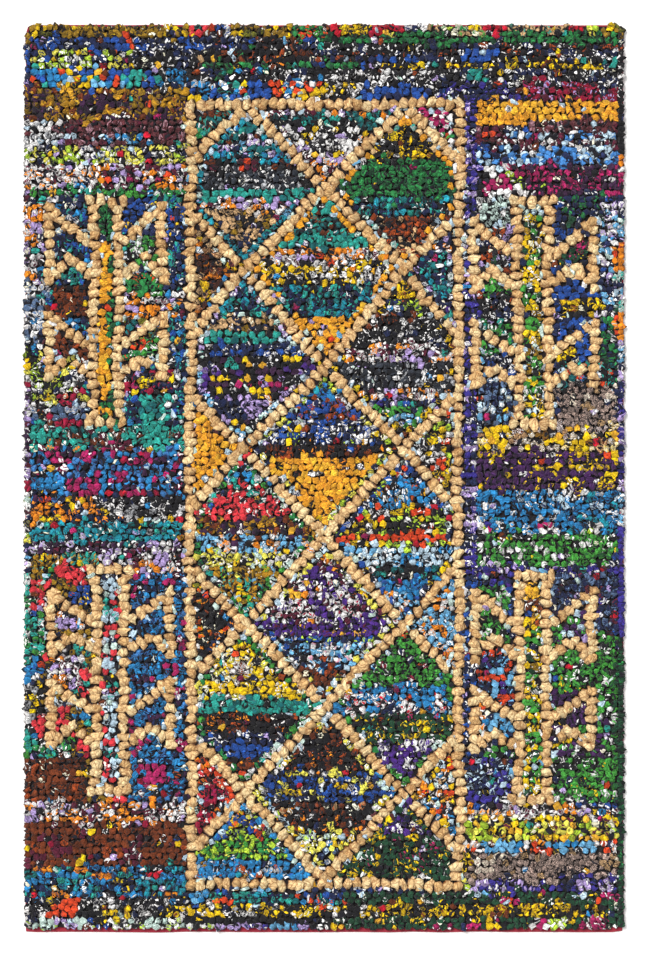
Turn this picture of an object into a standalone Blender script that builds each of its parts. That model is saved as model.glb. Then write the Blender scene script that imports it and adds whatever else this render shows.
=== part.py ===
"""Hand-tufted rag rug lying flat: a ground cloth, and the slab of loop pile that it carries.

Lengths are metres. +X runs across the rug, +Y runs along it and +Z is up. The origin is at the middle
of the underside, so the rug lies on the plane z = 0.
"""

import math
import random

import bmesh
import bpy
from mathutils import noise

# Driving sizes of the rug
RUG_WIDTH = 1.22
RUG_LENGTH = 1.85
CLOTH_THICKNESS = 0.0025
PILE_THICKNESS = 0.0115
SEAT_GAP = 0.0003

# Lip of ground cloth that shows beyond the pile
LIP_SIDE = 0.003
LIP_TOP = 0.002
LIP_BOTTOM = 0.007

# How far each corner is drawn in, by its side of the rug: -1 left or bottom, +1 right or top
CORNER_PULL = {(-1, 1): 0.009, (1, 1): 0.005, (1, -1): 0.006, (-1, -1): 0.003}

# Ground cloth: the hem wanders a little along each side
HEM_STEP = 0.05
HEM_WANDER = 0.0012
HEM_WAVE = 0.16

# Pile slab: cell size of its top, and how uneven its rim and its top are
CELL = 0.0245
RIM_WIDTH = 0.007
RIM_HEIGHT = 0.6
RIM_HEIGHT_SPREAD = 0.08
RIM_WANDER = 0.0018
UNDERCUT = 0.002
LUMP_HEIGHT = 0.0009
SWELL_HEIGHT = 0.0008
SWELL_SIZE = 0.11
SEED = 11

# Slices of the smooth noise that the hem and the pile's top read, so that they wander apart
HEM_SLICE = 0.5
SWELL_SLICE = 2.0

# Outline loops stand a little prouder than the rest: the panel's frame and its diamond lattice
RIDGE_HEIGHT = 0.0022
RIDGE_REACH = 0.021
PANEL_HALF_WIDTH = 0.273
PANEL_TOP = 0.762
PANEL_BOTTOM = -0.826
LATTICE_COLUMN = 0.162
LATTICE_ROWS = (0.757, 0.592, 0.426, 0.225, 0.060, -0.119, -0.296, -0.463, -0.640, -0.816)

CLOTH_COLOUR = (0.42, 0.015, 0.03, 1.0)
PILE_COLOUR = (0.33, 0.25, 0.16, 1.0)
COTTON_ROUGHNESS = 0.92


def clear_scene():
    """Remove every object of the open scene."""
    for item in list(bpy.data.objects):
        bpy.data.objects.remove(item, do_unlink=True)


def cotton(name, colour):
    """Return a matte cloth material of one colour."""
    material = bpy.data.materials.new(name)
    material.use_nodes = True
    shader = material.node_tree.nodes["Principled BSDF"]
    shader.inputs["Base Color"].default_value = colour
    shader.inputs["Roughness"].default_value = COTTON_ROUGHNESS
    shader.inputs["Metallic"].default_value = 0.0
    return material


def link_object(name, bm, material):
    """Make a named object from a bmesh, with its faces pointing out."""
    bmesh.ops.recalc_face_normals(bm, faces=bm.faces)
    mesh = bpy.data.meshes.new(name)
    bm.to_mesh(mesh)
    bm.free()
    mesh.materials.append(material)
    item = bpy.data.objects.new(name, mesh)
    bpy.context.scene.collection.objects.link(item)
    return item


def hem_drift(along, corner):
    """Return how far the hem lies inside its straight line at a place along one side.

    The corner where the side starts picks its own row of the noise.
    """
    return HEM_WANDER * (noise.noise((along / HEM_WAVE, corner / HEM_WAVE, HEM_SLICE)) - 1.0)


def hem_outline():
    """Return the ground cloth's outline, anticlockwise, one side after another."""
    half_x = RUG_WIDTH / 2
    half_y = RUG_LENGTH / 2
    corners = [(-1, -1), (1, -1), (1, 1), (-1, 1)]
    points = []
    for index, (side_x, side_y) in enumerate(corners):
        next_x, next_y = corners[(index + 1) % len(corners)]
        along_x = side_y == next_y
        length = RUG_WIDTH if along_x else RUG_LENGTH
        pull = CORNER_PULL[(side_x, side_y)]
        next_pull = CORNER_PULL[(next_x, next_y)]
        steps = round(length / HEM_STEP)
        for step in range(steps + 1):
            along = pull + (length - pull - next_pull) * step / steps
            if along_x:
                x = side_x * (half_x - along)
                y = side_y * (half_y + hem_drift(x, index))
            else:
                y = side_y * (half_y - along)
                x = side_x * (half_x + hem_drift(y, index))
            points.append((x, y))
    return points


def build_backing():
    """Build the ground cloth: one flat sheet with its hem."""
    bm = bmesh.new()
    rim = [bm.verts.new((x, y, 0.0)) for x, y in hem_outline()]
    face = bm.faces.new(rim)
    raised = bmesh.ops.extrude_face_region(bm, geom=[face])
    top = [part for part in raised["geom"] if isinstance(part, bmesh.types.BMVert)]
    bmesh.ops.translate(bm, vec=(0.0, 0.0, CLOTH_THICKNESS), verts=top)
    return link_object("backing", bm, cotton("backing", CLOTH_COLOUR))


def lattice_lines():
    """Return the panel's frame and lattice as segments (x0, y0, x1, y1)."""
    side = PANEL_HALF_WIDTH
    lines = [
        (-side, PANEL_TOP, side, PANEL_TOP),
        (-side, PANEL_BOTTOM, side, PANEL_BOTTOM),
        (-side, PANEL_BOTTOM, -side, PANEL_TOP),
        (side, PANEL_BOTTOM, side, PANEL_TOP),
    ]
    reach = side - LATTICE_COLUMN
    for row, (upper, lower) in enumerate(zip(LATTICE_ROWS, LATTICE_ROWS[1:])):
        outer_first = row % 2 == 0
        start_y, end_y = (upper, lower) if outer_first else (lower, upper)
        frame_y = start_y + (end_y - start_y) * reach / LATTICE_COLUMN
        for hand in (-1, 1):
            node_x = hand * LATTICE_COLUMN
            lines.append((node_x, start_y, 0.0, end_y))
            lines.append((node_x, start_y, hand * side, frame_y))
    return lines


def distance_to(line, x, y):
    """Return the distance from a point to a segment."""
    x0, y0, x1, y1 = line
    run_x = x1 - x0
    run_y = y1 - y0
    along = ((x - x0) * run_x + (y - y0) * run_y) / (run_x * run_x + run_y * run_y)
    along = min(max(along, 0.0), 1.0)
    return math.hypot(x - x0 - along * run_x, y - y0 - along * run_y)


def stations(low, high):
    """Return the grid positions between two rims: a narrow first and last cell, even ones between."""
    inner_low = low + RIM_WIDTH
    inner_high = high - RIM_WIDTH
    cells = round((inner_high - inner_low) / CELL)
    inner = [inner_low + (inner_high - inner_low) * step / cells for step in range(cells + 1)]
    return [low] + inner + [high]


def top_height(x, y, lines, chance):
    """Return how high the pile stands at a point away from its rim."""
    nearest = min(distance_to(line, x, y) for line in lines)
    ridge = RIDGE_HEIGHT * max(0.0, 1.0 - nearest / RIDGE_REACH)
    swell = SWELL_HEIGHT * noise.noise((x / SWELL_SIZE, y / SWELL_SIZE, SWELL_SLICE))
    lump = LUMP_HEIGHT * chance.uniform(-1.0, 1.0)
    return PILE_THICKNESS + ridge + swell + lump


def build_pile():
    """Build the loop pile: one lumpy slab with an uneven, rounded rim."""
    chance = random.Random(SEED)
    lines = lattice_lines()
    columns = stations(-RUG_WIDTH / 2 + LIP_SIDE, RUG_WIDTH / 2 - LIP_SIDE)
    rows = stations(-RUG_LENGTH / 2 + LIP_BOTTOM, RUG_LENGTH / 2 - LIP_TOP)
    last_column = len(columns) - 1
    last_row = len(rows) - 1
    bottom = CLOTH_THICKNESS + SEAT_GAP

    bm = bmesh.new()
    bmesh.ops.create_grid(bm, x_segments=last_column, y_segments=last_row, size=0.5)
    for vert in bm.verts:
        column = round((vert.co.x + 0.5) * last_column)
        row = round((vert.co.y + 0.5) * last_row)
        x = columns[column]
        y = rows[row]
        side_x = (column == last_column) - (column == 0)
        side_y = (row == last_row) - (row == 0)
        if side_x or side_y:
            height = PILE_THICKNESS * (RIM_HEIGHT + RIM_HEIGHT_SPREAD * chance.uniform(-1.0, 1.0))
            drift = RIM_WANDER * chance.random()
            pull = CORNER_PULL.get((side_x, side_y), 0.0)
            x -= side_x * (drift + pull / 2)
            y -= side_y * (drift + pull / 2)
        else:
            height = top_height(x, y, lines, chance)
        vert.co = (x, y, bottom + height)

    rim_edges = [edge for edge in bm.edges if edge.is_boundary]
    wall = bmesh.ops.extrude_edge_only(bm, edges=rim_edges)
    foot = [part for part in wall["geom"] if isinstance(part, bmesh.types.BMVert)]
    for vert in foot:
        vert.co.x -= math.copysign(UNDERCUT, vert.co.x)
        vert.co.y -= math.copysign(UNDERCUT, vert.co.y)
        vert.co.z = bottom
    seat = bmesh.ops.holes_fill(bm, edges=[edge for edge in bm.edges if edge.is_boundary])["faces"]
    for face in bm.faces:
        face.smooth = face not in seat
    return link_object("pile", bm, cotton("pile", PILE_COLOUR))


def main():
    """Build the rug in an empty scene."""
    clear_scene()
    build_backing()
    build_pile()


main()
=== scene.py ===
"""A hand-tufted rag rug in its finished look: ecru lattice, comb figures and bands of rag loops.

Lengths are metres, with +X across the rug, +Y towards its top edge and +Z out of the pile, as in the
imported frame. The chart of the bands is in centimetres from the rug's top left corner, as a maker would
measure it with a tape: rows count down from the top edge, columns count from the left edge.
"""

import logging
import math
import random
from dataclasses import dataclass, field
from enum import Enum
from typing import Iterator

import bmesh
import bpy
import numpy as np
from mathutils import Matrix, Vector, noise


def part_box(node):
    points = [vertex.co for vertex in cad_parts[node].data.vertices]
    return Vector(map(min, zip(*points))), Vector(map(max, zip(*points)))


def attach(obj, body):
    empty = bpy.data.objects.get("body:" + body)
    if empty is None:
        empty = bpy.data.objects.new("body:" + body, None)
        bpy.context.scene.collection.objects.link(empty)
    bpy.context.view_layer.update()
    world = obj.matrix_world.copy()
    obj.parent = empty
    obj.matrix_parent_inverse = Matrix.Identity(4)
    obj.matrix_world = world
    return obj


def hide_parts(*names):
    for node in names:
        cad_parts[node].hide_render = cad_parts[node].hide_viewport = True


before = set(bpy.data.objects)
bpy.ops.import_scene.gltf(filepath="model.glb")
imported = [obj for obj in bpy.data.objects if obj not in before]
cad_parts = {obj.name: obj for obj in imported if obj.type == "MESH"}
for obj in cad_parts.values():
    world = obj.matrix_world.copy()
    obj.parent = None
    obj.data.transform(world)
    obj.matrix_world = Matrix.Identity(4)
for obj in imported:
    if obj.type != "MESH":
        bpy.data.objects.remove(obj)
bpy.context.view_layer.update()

log = logging.getLogger("rag_rug")

Colour = tuple[float, float, float]
Point = tuple[float, float]

# Driving sizes of the rug, the same as the frame's
RUG_WIDTH = 1.22
RUG_LENGTH = 1.85
LIP_SIDE = 0.003
LIP_TOP = 0.002
LIP_BOTTOM = 0.007
CORNER_PULL = {(-1, 1): 0.009, (1, 1): 0.005, (1, -1): 0.006, (-1, -1): 0.003}

# A rag is busy when more than this share of it is printed
BUSY_SHARE = 0.4

# How far apart the three parts of a drift are read in the noise, so that they differ
DRIFT_STEPS = (0.0, 17.3, 31.7)

# Edges that turn by more than this, in degrees, stay sharp on the smooth pieces
SMOOTH_ANGLE = 50

# Dyes of the rags, as sRGB hex
DYES = {
    "ecru": "E5C08A", "straw": "F0D5A1", "wheat": "D3AB74", "ochre": "F0A42A", "amber": "F4B632",
    "yellow": "F4C90F", "lemon": "EDE45A", "lime": "B4D63A", "cream": "F6F1D6", "white": "F6F4F4",
    "grey": "A7A9AE", "black": "1C1B20", "brown": "6E3318", "rust": "9C431A", "tan": "CDA779",
    "taupe": "BCA398", "orange": "F08C1E", "scarlet": "DE4720", "coral": "E03A44", "crimson": "9A1238",
    "magenta": "AC2060", "pink": "E89AB4", "maroon": "5C1C33", "plum": "3C2040", "dusk": "5E2C33",
    "purple": "4A2880", "lavender": "B49DD6", "indigo": "39308C", "navy": "1E274C", "royal": "2350A4",
    "azure": "2A86C4", "sky": "6FB2DE", "ice": "BCD6E8", "slate": "5A7296", "sea": "1E93A8",
    "teal": "2BA194", "deep": "17686C", "mint": "C6DED6", "emerald": "2B8546", "leaf": "42973A",
    "forest": "1F4A33", "olive": "6B6B1E", "mustard": "93721B", "gold": "BC8A1E", "red": "C2142E",
    "coal": "30353F", "cornflower": "4484CA", "aubergine": "47245A", "mauve": "A07682", "coffee": "3E2B28",
}

# Rags by name: the cloths in it, each a dye with flecks of a second one, and how often each comes up
RAGS = {
    "ecru": "ecru*4 straw*2 wheat",
    "ochre": "ochre*6 amber*2 ochre/amber*2",
    "ochre_mix": "ochre*5 ochre/amber white/black mint/teal ecru",
    "mustard_plum": "gold/brown*3 mustard/plum*3 plum/gold*3 plum*2 brown/gold*3 gold*2 amber*0.5",
    "mustard_teal": "gold/teal*3 teal/gold*2 yellow/leaf leaf/yellow mustard/sky gold*2 mustard/black",
    "mustard_yellow": "mustard*5 mustard/black*4 mustard/yellow*2 yellow/mustard yellow*0.7 olive/black",
    "mustard_navy": "mustard/black*3 black/mustard*2 mustard/yellow navy/mustard teal/navy",
    "yellow": "yellow*5 amber yellow/amber*2",
    "yellow_print": "mustard/white*2 brown/white*3 tan/brown*2 yellow/white*2 yellow mustard/brown",
    "wasp": "yellow/black*4 black/yellow*3 yellow/brown*2 brown/yellow black",
    "wasp_white": "yellow/white*2 black/yellow*2 white/black*2 yellow*2 black",
    "white_yellow": "white*2 yellow*2 white/black*2 black/white*2 white/yellow lavender/white",
    "lemon_print": "lemon/navy*3 white/navy*3 lime/white*3 navy/white*2 lemon/white*2 yellow/navy "
              "red*0.8 lime/black*2",
    "lemon_white": "lemon/white*4 lemon*2 yellow/white*2 yellow white/lime*2 mint/lime",
    "lime_yellow": "lemon/lime*2 yellow*4 amber*3 yellow/maroon lemon/maroon*2 lime/cream "
              "lime/olive cream/lime",
    "lime": "lime*2 lemon/lime",
    "lime_crimson": "lemon/black*3 lime/white*2 white/black*2 black/lime*2 crimson*2.5 navy/white yellow",
    "carnival": "royal*2 azure*2 yellow*2 teal*2 sky scarlet*1.5 yellow/scarlet royal/white "
              "navy/white brown/white",
    "harbour": "azure*2 teal*2 royal*2 azure/white*2 white/azure navy/white*2 yellow scarlet*0.5"
               " teal/white",
    "hearth": "navy/orange*2 yellow/scarlet*2 orange/olive scarlet/navy*2 olive/yellow black/orange*2",
    "amber_night": "orange/black*2 yellow/navy*2 navy/orange*2 black/yellow*2 orange",
    "amber_print": "amber*2 yellow*2 brown/white*2 amber/white rust/white",
    "garden": "navy/lime*2 lime/navy*2 yellow/scarlet royal/yellow*2 scarlet/navy lemon/white",
    "orange": "orange*3 scarlet/orange",
    "orange_white": "orange/white*3 white/orange*2 scarlet/white white",
    "orchid": "white/maroon*3 orange/white*3 white/orange*2 maroon/white*2 lavender*2 "
              "lavender/white orange*1.5",
    "scarlet": "scarlet*3 scarlet/orange",
    "scarlet_yellow": "scarlet*2 yellow*2 scarlet/yellow",
    "red_orange": "scarlet*3 orange/scarlet*2 coral/white crimson",
    "coral": "coral*5 coral/crimson*2 coral/white",
    "coral_mix": "coral*6 coral/crimson*2 royal/teal teal/white navy/white*0.6",
    "coral_yellow": "coral*2 yellow*2 coral/yellow",
    "coral_mint": "coral*3 ice*2 ice/teal*2 coral/white teal/coral mint*0.7",
    "crimson": "crimson*4 magenta/crimson*2 crimson/maroon",
    "red": "red*4 red/crimson*2",
    "crimson_lilac": "crimson*2 crimson/lavender*3 lavender/crimson*2 maroon",
    "crimson_yellow": "crimson*3 crimson/yellow*2 navy/crimson*2 yellow/navy",
    "fiesta": "lime/black*2 black/lime*2 yellow/black*2 white/black*2 scarlet*3 black/white red yellow",
    "magenta": "magenta*3 crimson/magenta",
    "magenta_white": "magenta*3 white*3 white/magenta*2 magenta/white*2 black/white lime/white",
    "berry": "magenta/plum*3 plum/magenta*4 plum*2 magenta/black*3 black/lime*0.5 white/plum*0.7",
    "plum_brown": "dusk/black*3 dusk/mauve*4 maroon/dusk*2 mauve/dusk*2 dusk*2",
    "maroon_white": "maroon/white*4 white*2 dusk/white*2 navy/white",
    "night": "black*4 black/navy",
    "night_yellow": "yellow*4 black*3 plum*2 black/lavender black/white*2 amber black/yellow",
    "night_teal": "black*2 deep/black*3 teal/black*2 black/teal",
    "night_red": "maroon/black*2 black*3 brown/black*2 scarlet",
    "night_berry": "magenta*2 purple*2 plum*3 black*2 teal/black lavender/purple black/magenta black/white",
    "night_rust": "black*5 brown/black*2 black/rust*3 rust/black black/orange*1.5 tan/rust*0.5",
    "night_white": "black/white*3 navy/white*3 white/black black",
    "rust": "brown*7 rust/brown*3 brown/black*3 black/brown yellow*0.4",
    "rust_tan": "rust/black*3 brown/tan*3 black/tan*3 rust/tan*2 brown/black*2 rust",
    "rust_blue": "rust/royal*2 royal/rust*2 rust black/rust royal",
    "rust_specks": "black/white*4 navy/white*3 black/rust*3 rust/white navy black/cream",
    "rust_lilac": "rust/black*2 lavender/black*2 black/white*2 forest/lavender rust",
    "rust_patch": "brown*8 rust/brown*2 brown/black*3 yellow*0.8 maroon*1.5 crimson*0.6 "
              "maroon/white*0.6",
    "brown_print": "black/white*3 brown/white*2 black/brown",
    "tan_print": "tan/black*6 tan*2 black/tan*3 navy/tan*2 mustard/black",
    "tweed": "brown/tan*3 black/brown*3 tan/black*2 brown/orange yellow/brown",
    "taupe": "taupe/black*5 taupe/coffee*3 taupe/cream*0.7 tan/black*2 black/taupe*3",
    "beige_green": "tan/leaf*2 cream/emerald*2 yellow/tan lime/tan",
    "beige_teal": "tan/teal*2 yellow/tan*2 black/tan*2 tan/black teal/tan",
    "scraps": "black/white*3 navy/white*2 lavender/white ice black/rust black/yellow "
              "teal/black white/black magenta/black brown/white red scarlet azure/white amber",
    "ash": "coal/white*4 coal*3 black/white*2 coal/grey*3 black/lavender*0.6 grey/coal",
    "ash_amber": "black/white*3 grey/black*2 yellow/black orange/black white/grey",
    "pale": "grey/white*3 white*2 ice/white*2 lavender/white dusk/white",
    "pale_lime": "mint/lime*2 white/lime*2 mint*2 black/white",
    "leaf": "leaf*3 leaf/black*2 emerald leaf/white",
    "yellow_cream": "yellow*4 yellow/white*3 lemon/white*2 cream/yellow*2 yellow/brown white/brown",
    "azure_flag": "azure*4 azure/white*3 white/red*2 azure/crimson navy/white gold",
    "market": "azure/white*2 yellow*2 amber orange/white*2 scarlet/yellow leaf/white white/azure tan/white",
    "zebra": "black/white*5 white/black*2 black*2 navy/white",
    "ice": "ice*3 ice/white*2 azure/ice sky",
    "mint": "mint*3 mint/white*2 ice/mint",
    "mint_white": "mint/black*3 white/black*2 mint*2 black/mint",
    "slate": "slate*3 slate/ice*2 navy/slate white/slate*2",
    "slate_sky": "slate*2 sky/slate*2 ice/white*2 yellow/slate navy/slate",
    "emerald": "emerald/forest*6 emerald/black*2 forest/emerald*2",
    "emerald_leaf": "leaf/black*5 leaf/forest*2 leaf*2 leaf/white crimson/white*0.5",
    "green_white": "leaf/black*5 leaf/forest*3 leaf/white*2 black/white*2 white/leaf*2 leaf leaf/yellow",
    "green_yellow": "yellow*2 leaf*2 yellow/white*2 leaf/white*2 forest/white mustard/white",
    "leaf_print": "emerald/white*3 leaf/black*2 white/emerald*2 emerald/navy teal/white",
    "leaf_red": "emerald/scarlet*2 leaf/white*2 scarlet/leaf*2 emerald*2 white/scarlet",
    "leaf_lime": "leaf/lime*3 lime/leaf*2 emerald/lemon",
    "leaf_teal": "teal/leaf*2 emerald/white*2 teal*2 leaf/navy white/teal",
    "forest": "forest/black*5 forest/emerald*3 forest",
    "forest_spots": "forest*6 forest/black*2 forest/white forest/yellow magenta/white",
    "forest_yellow": "forest*2 forest/yellow*4 forest/white*2 forest/magenta yellow/forest black/forest",
    "forest_berry": "forest/magenta*2 forest/yellow magenta/forest forest*2",
    "teal": "teal*4 teal/deep*2 deep",
    "teal_brown": "teal/brown*3 brown/teal*2 deep*2 brown/black",
    "teal_navy": "teal/navy*3 navy/teal*3 sea/navy*2 deep*2 navy/white",
    "teal_olive": "deep*2 olive/deep*2 brown/deep deep/black",
    "teal_print": "black/white*4 teal/black*2 teal navy/white*2 azure/black",
    "teal_red": "teal/scarlet*2 scarlet/teal*2 black/teal*2 deep azure/scarlet",
    "turquoise": "teal*4 teal/brown*2 brown/white*2 teal/white teal/orange maroon/white "
              "teal/black*2 deep",
    "sea": "sea*3 azure/sea*2 sea/white deep",
    "sea_teal": "sea*4 sea/teal*2 deep sea/navy*3 sea/lavender*0.6 teal/navy",
    "deep_sea": "azure/navy*3 sea/navy*3 deep/teal*2 teal/navy*2 navy/azure*3 azure*2 "
              "yellow/navy*1.5 red*0.8 orange/navy*0.8 navy/yellow*2 azure/white",
    "azure": "azure*4 azure/royal*2 azure/white sea",
    "azure_berry": "azure*2 cornflower*2 cornflower/navy*3 cornflower/ice*1.5 magenta*3 "
              "magenta/white*2 plum/azure*2 azure/plum*2 crimson navy/white",
    "azure_plum": "azure*2 azure/navy*4 cornflower/navy*2 azure/plum*2 plum/azure*1.5 magenta "
              "magenta/white*1.2 magenta/plum navy/azure*2",
    "azure_rust": "azure*3 azure/white*2 azure/rust*2 rust/white gold/azure white/azure",
    "cyan_white": "azure/navy*4 azure/white*3 azure*3 sea/navy*2 white/azure*2 ice/navy",
    "blue": "cornflower/navy*3 cornflower/ice*3 ice/cornflower*2 navy/cornflower cornflower*2",
    "blue_maroon": "cornflower/ice*3 ice/cornflower*2 maroon/ice*2 white/maroon*2 navy/ice",
    "blue_white": "royal/white*3 azure/white*2 white/royal*3 ice",
    "blue_print": "royal/white*2 indigo/white*2 sky/white*2 navy/white*2 white/indigo",
    "sky": "sky*4 sky/azure*2 azure",
    "sky_print": "sky/white*3 navy/sky*2 white/pink sky/royal white/sky",
    "sky_orange": "sky/white*3 sky*2 orange*1.5 white/orange*2 orange/white sky/navy",
    "sky_scarlet": "sky*2 scarlet/sky*2 navy/sky purple/sky scarlet",
    "sky_lilac": "sky/white*2 lavender/white*2 navy/white white/lavender navy/lavender mint/teal",
    "royal": "royal*4 royal/navy*2 navy",
    "royal_print": "royal/white*3 royal*2 navy/white*3 royal/lime navy/lime yellow white/royal",
    "royal_lime": "royal*2 royal/lime*2 white/royal orange*1.5 lime/white navy/white",
    "royal_wasp": "royal/navy*3 navy*2 royal/yellow*2 royal/scarlet navy/yellow",
    "royal_yellow": "royal*3 navy/royal*2 royal/black*2 lemon/navy*3 yellow/navy navy/cream white/navy",
    "flag": "royal/white*3 scarlet/white*2 white/royal*2 scarlet/royal royal",
    "navy_print": "navy*2 navy/white*3 royal/navy*2 royal/white navy/lavender",
    "denim": "navy/ice*4 ice/navy*3 indigo/ice*2 indigo slate/navy",
    "navy_green": "navy*2 emerald/navy*2 navy/emerald*2 forest",
    "navy_maroon": "navy/slate*3 slate/navy*2 maroon/navy*2 indigo/white navy/maroon",
    "navy_orchid": "navy/white*2 lavender/navy*2 orange/white navy*2 purple/white",
    "navy_purple": "navy*2 purple/navy*2 royal/purple*2 indigo",
    "navy_teal": "navy*2 navy/teal*3 royal/teal*2 teal/navy*2 azure/navy white/navy",
    "indigo": "indigo*6 indigo/navy indigo/purple*2",
    "indigo_print": "indigo*4 indigo/white*2 indigo/lavender*2 navy/white*2 lavender/white*2 navy/indigo*2",
    "purple_mix": "purple*4 purple/white*2 purple/maroon*2 purple/amber",
    "purple_print": "purple*3 white/crimson*3 purple/white*2 white/purple*2 orange/white "
              "maroon/white*2 amber",
    "purple_wasp": "aubergine/yellow*5 aubergine*4 aubergine/plum*2 yellow/aubergine*1.5 yellow*0.8",
    "aubergine_leaf": "aubergine*3 aubergine/black*3 leaf/white*1.2 aubergine/leaf leaf/black "
              "yellow/black*0.5 ice*0.4",
    "purple_white": "purple/white*3 purple*2 white/purple navy/purple",
    "lilac_plum": "lavender/white*2 maroon/lavender*2 plum/white*2 white/lavender",
    "lilac_print": "lavender/white*3 lavender/navy*2 white/lavender indigo/white",
}

# Which second look a rag has: big patches, fine flecks when it isn't listed, or thin curly stripes
PATCHY_RAGS = {
    "carnival", "harbour", "lime_yellow", "magenta_white", "blue", "blue_maroon", "orange_white",
    "coral_mint", "azure_berry",
}
CURLY_RAGS = {"taupe", "tweed", "yellow_print"}

# Rags torn a little wider than the rest, whose loops are larger
BIG_RAGS = {"ochre", "blue", "mustard_plum", "lime_yellow", "royal", "teal", "turquoise", "sky", "azure"}

# Stripes of each lattice cell, from its top corner to its bottom one, each with its share of the height.
# The first rag is the row of loops that follows the ecru lines round the cell.
CELLS = {
    (0, 0): "orchid: orchid 2, night_yellow 3, night_teal 2, white_yellow 2, orchid 2",
    (-2, 0): "teal_brown: teal_brown 3, leaf_teal 2",
    (2, 0): "magenta_white: berry 2, magenta_white 2, leaf_red 2",
    (-1, 1): "sea_teal: teal 16, teal_brown 6, sky_lilac 4, sea 8, night_red 4, ash 13, teal 6, "
             "orchid 7.5, tan_print 25.5, teal_navy 10",
    (1, 1): "ochre_mix: ochre 8, wasp 25, emerald 24.5, teal_navy 10.5, rust_tan 32",
    (0, 2): "ochre: teal 14, teal_brown 14, teal 10, orchid 8, wasp_white 13, teal_navy 15, "
             "ochre 26",
    (-2, 2): "tweed: tweed 3, hearth 1",
    (2, 2): "navy_orchid: navy_orchid 2, teal_navy 2, purple_white 1",
    (-1, 3): "sky_lilac: teal_navy 23, tan_print 9, teal 5, navy_print 7, night_yellow 5, "
             "night_berry 6, night_yellow 4, night_berry 4, night_yellow 5, navy_orchid 14, "
             "night_yellow 9, night_white 9",
    (1, 3): "wasp: wasp 14, garden 5, brown_print 8, zebra 9, orchid 8.5, ash 15.5, orchid 5, "
             "blue_print 3, leaf 6, blue_print 4, leaf 4, blue_white 9, red_orange 3",
    (0, 4): "lemon_print: lemon_print 8, azure 11, rust_blue 12, royal_print 16, night_rust 7, "
             "ochre 46",
    (-2, 4): "ochre: ochre 1",
    (2, 4): "fiesta: fiesta 1",
    (-1, 5): "leaf_print: coral 8, harbour 10, coral_mix 21, mustard_plum 10, sky_orange 8.5, "
             "lemon_white 9, mustard_teal 33",
    (1, 5): "royal_print: flag 15, azure_rust 17, fiesta 15, scarlet 4, fiesta 3, ice 11, "
             "night_teal 7.5, azure 8.5, sky_orange 18",
    (0, 6): "lemon_white: purple_mix 4, purple_print 45, purple_mix 8, royal_lime 5, sky_print 13, "
             "rust 18, lemon_white 7",
    (-2, 6): "hearth: hearth 3, night_rust 5, lemon_white 2",
    (2, 6): "sky_orange: sky_orange 2, red_orange 1",
    (-1, 7): "leaf_print: lemon_white 12, yellow_cream 33, teal 10, night_rust 11, navy_print 5, "
             "royal 7.5, night_rust 8, leaf_print 14",
    (1, 7): "leaf: leaf_red 8, emerald_leaf 29, azure_flag 17.5, forest_yellow 15.5, "
             "purple_white 21, leaf 9",
    (0, 8): "lemon_white: hearth 7, night_rust 29, royal_yellow 19, night_rust 16, "
             "lemon_white 12, slate 17",
    (-2, 8): "red_orange: red_orange 4, crimson 2.5, red_orange 1.5, sky_print 1",
    (2, 8): "market: market 1",
    (-1, 9): "azure: garden 26, leaf_lime 11, azure_rust 63",
    (1, 9): "forest_yellow: night_berry 5, purple_white 18, forest_yellow 77",
}

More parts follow.
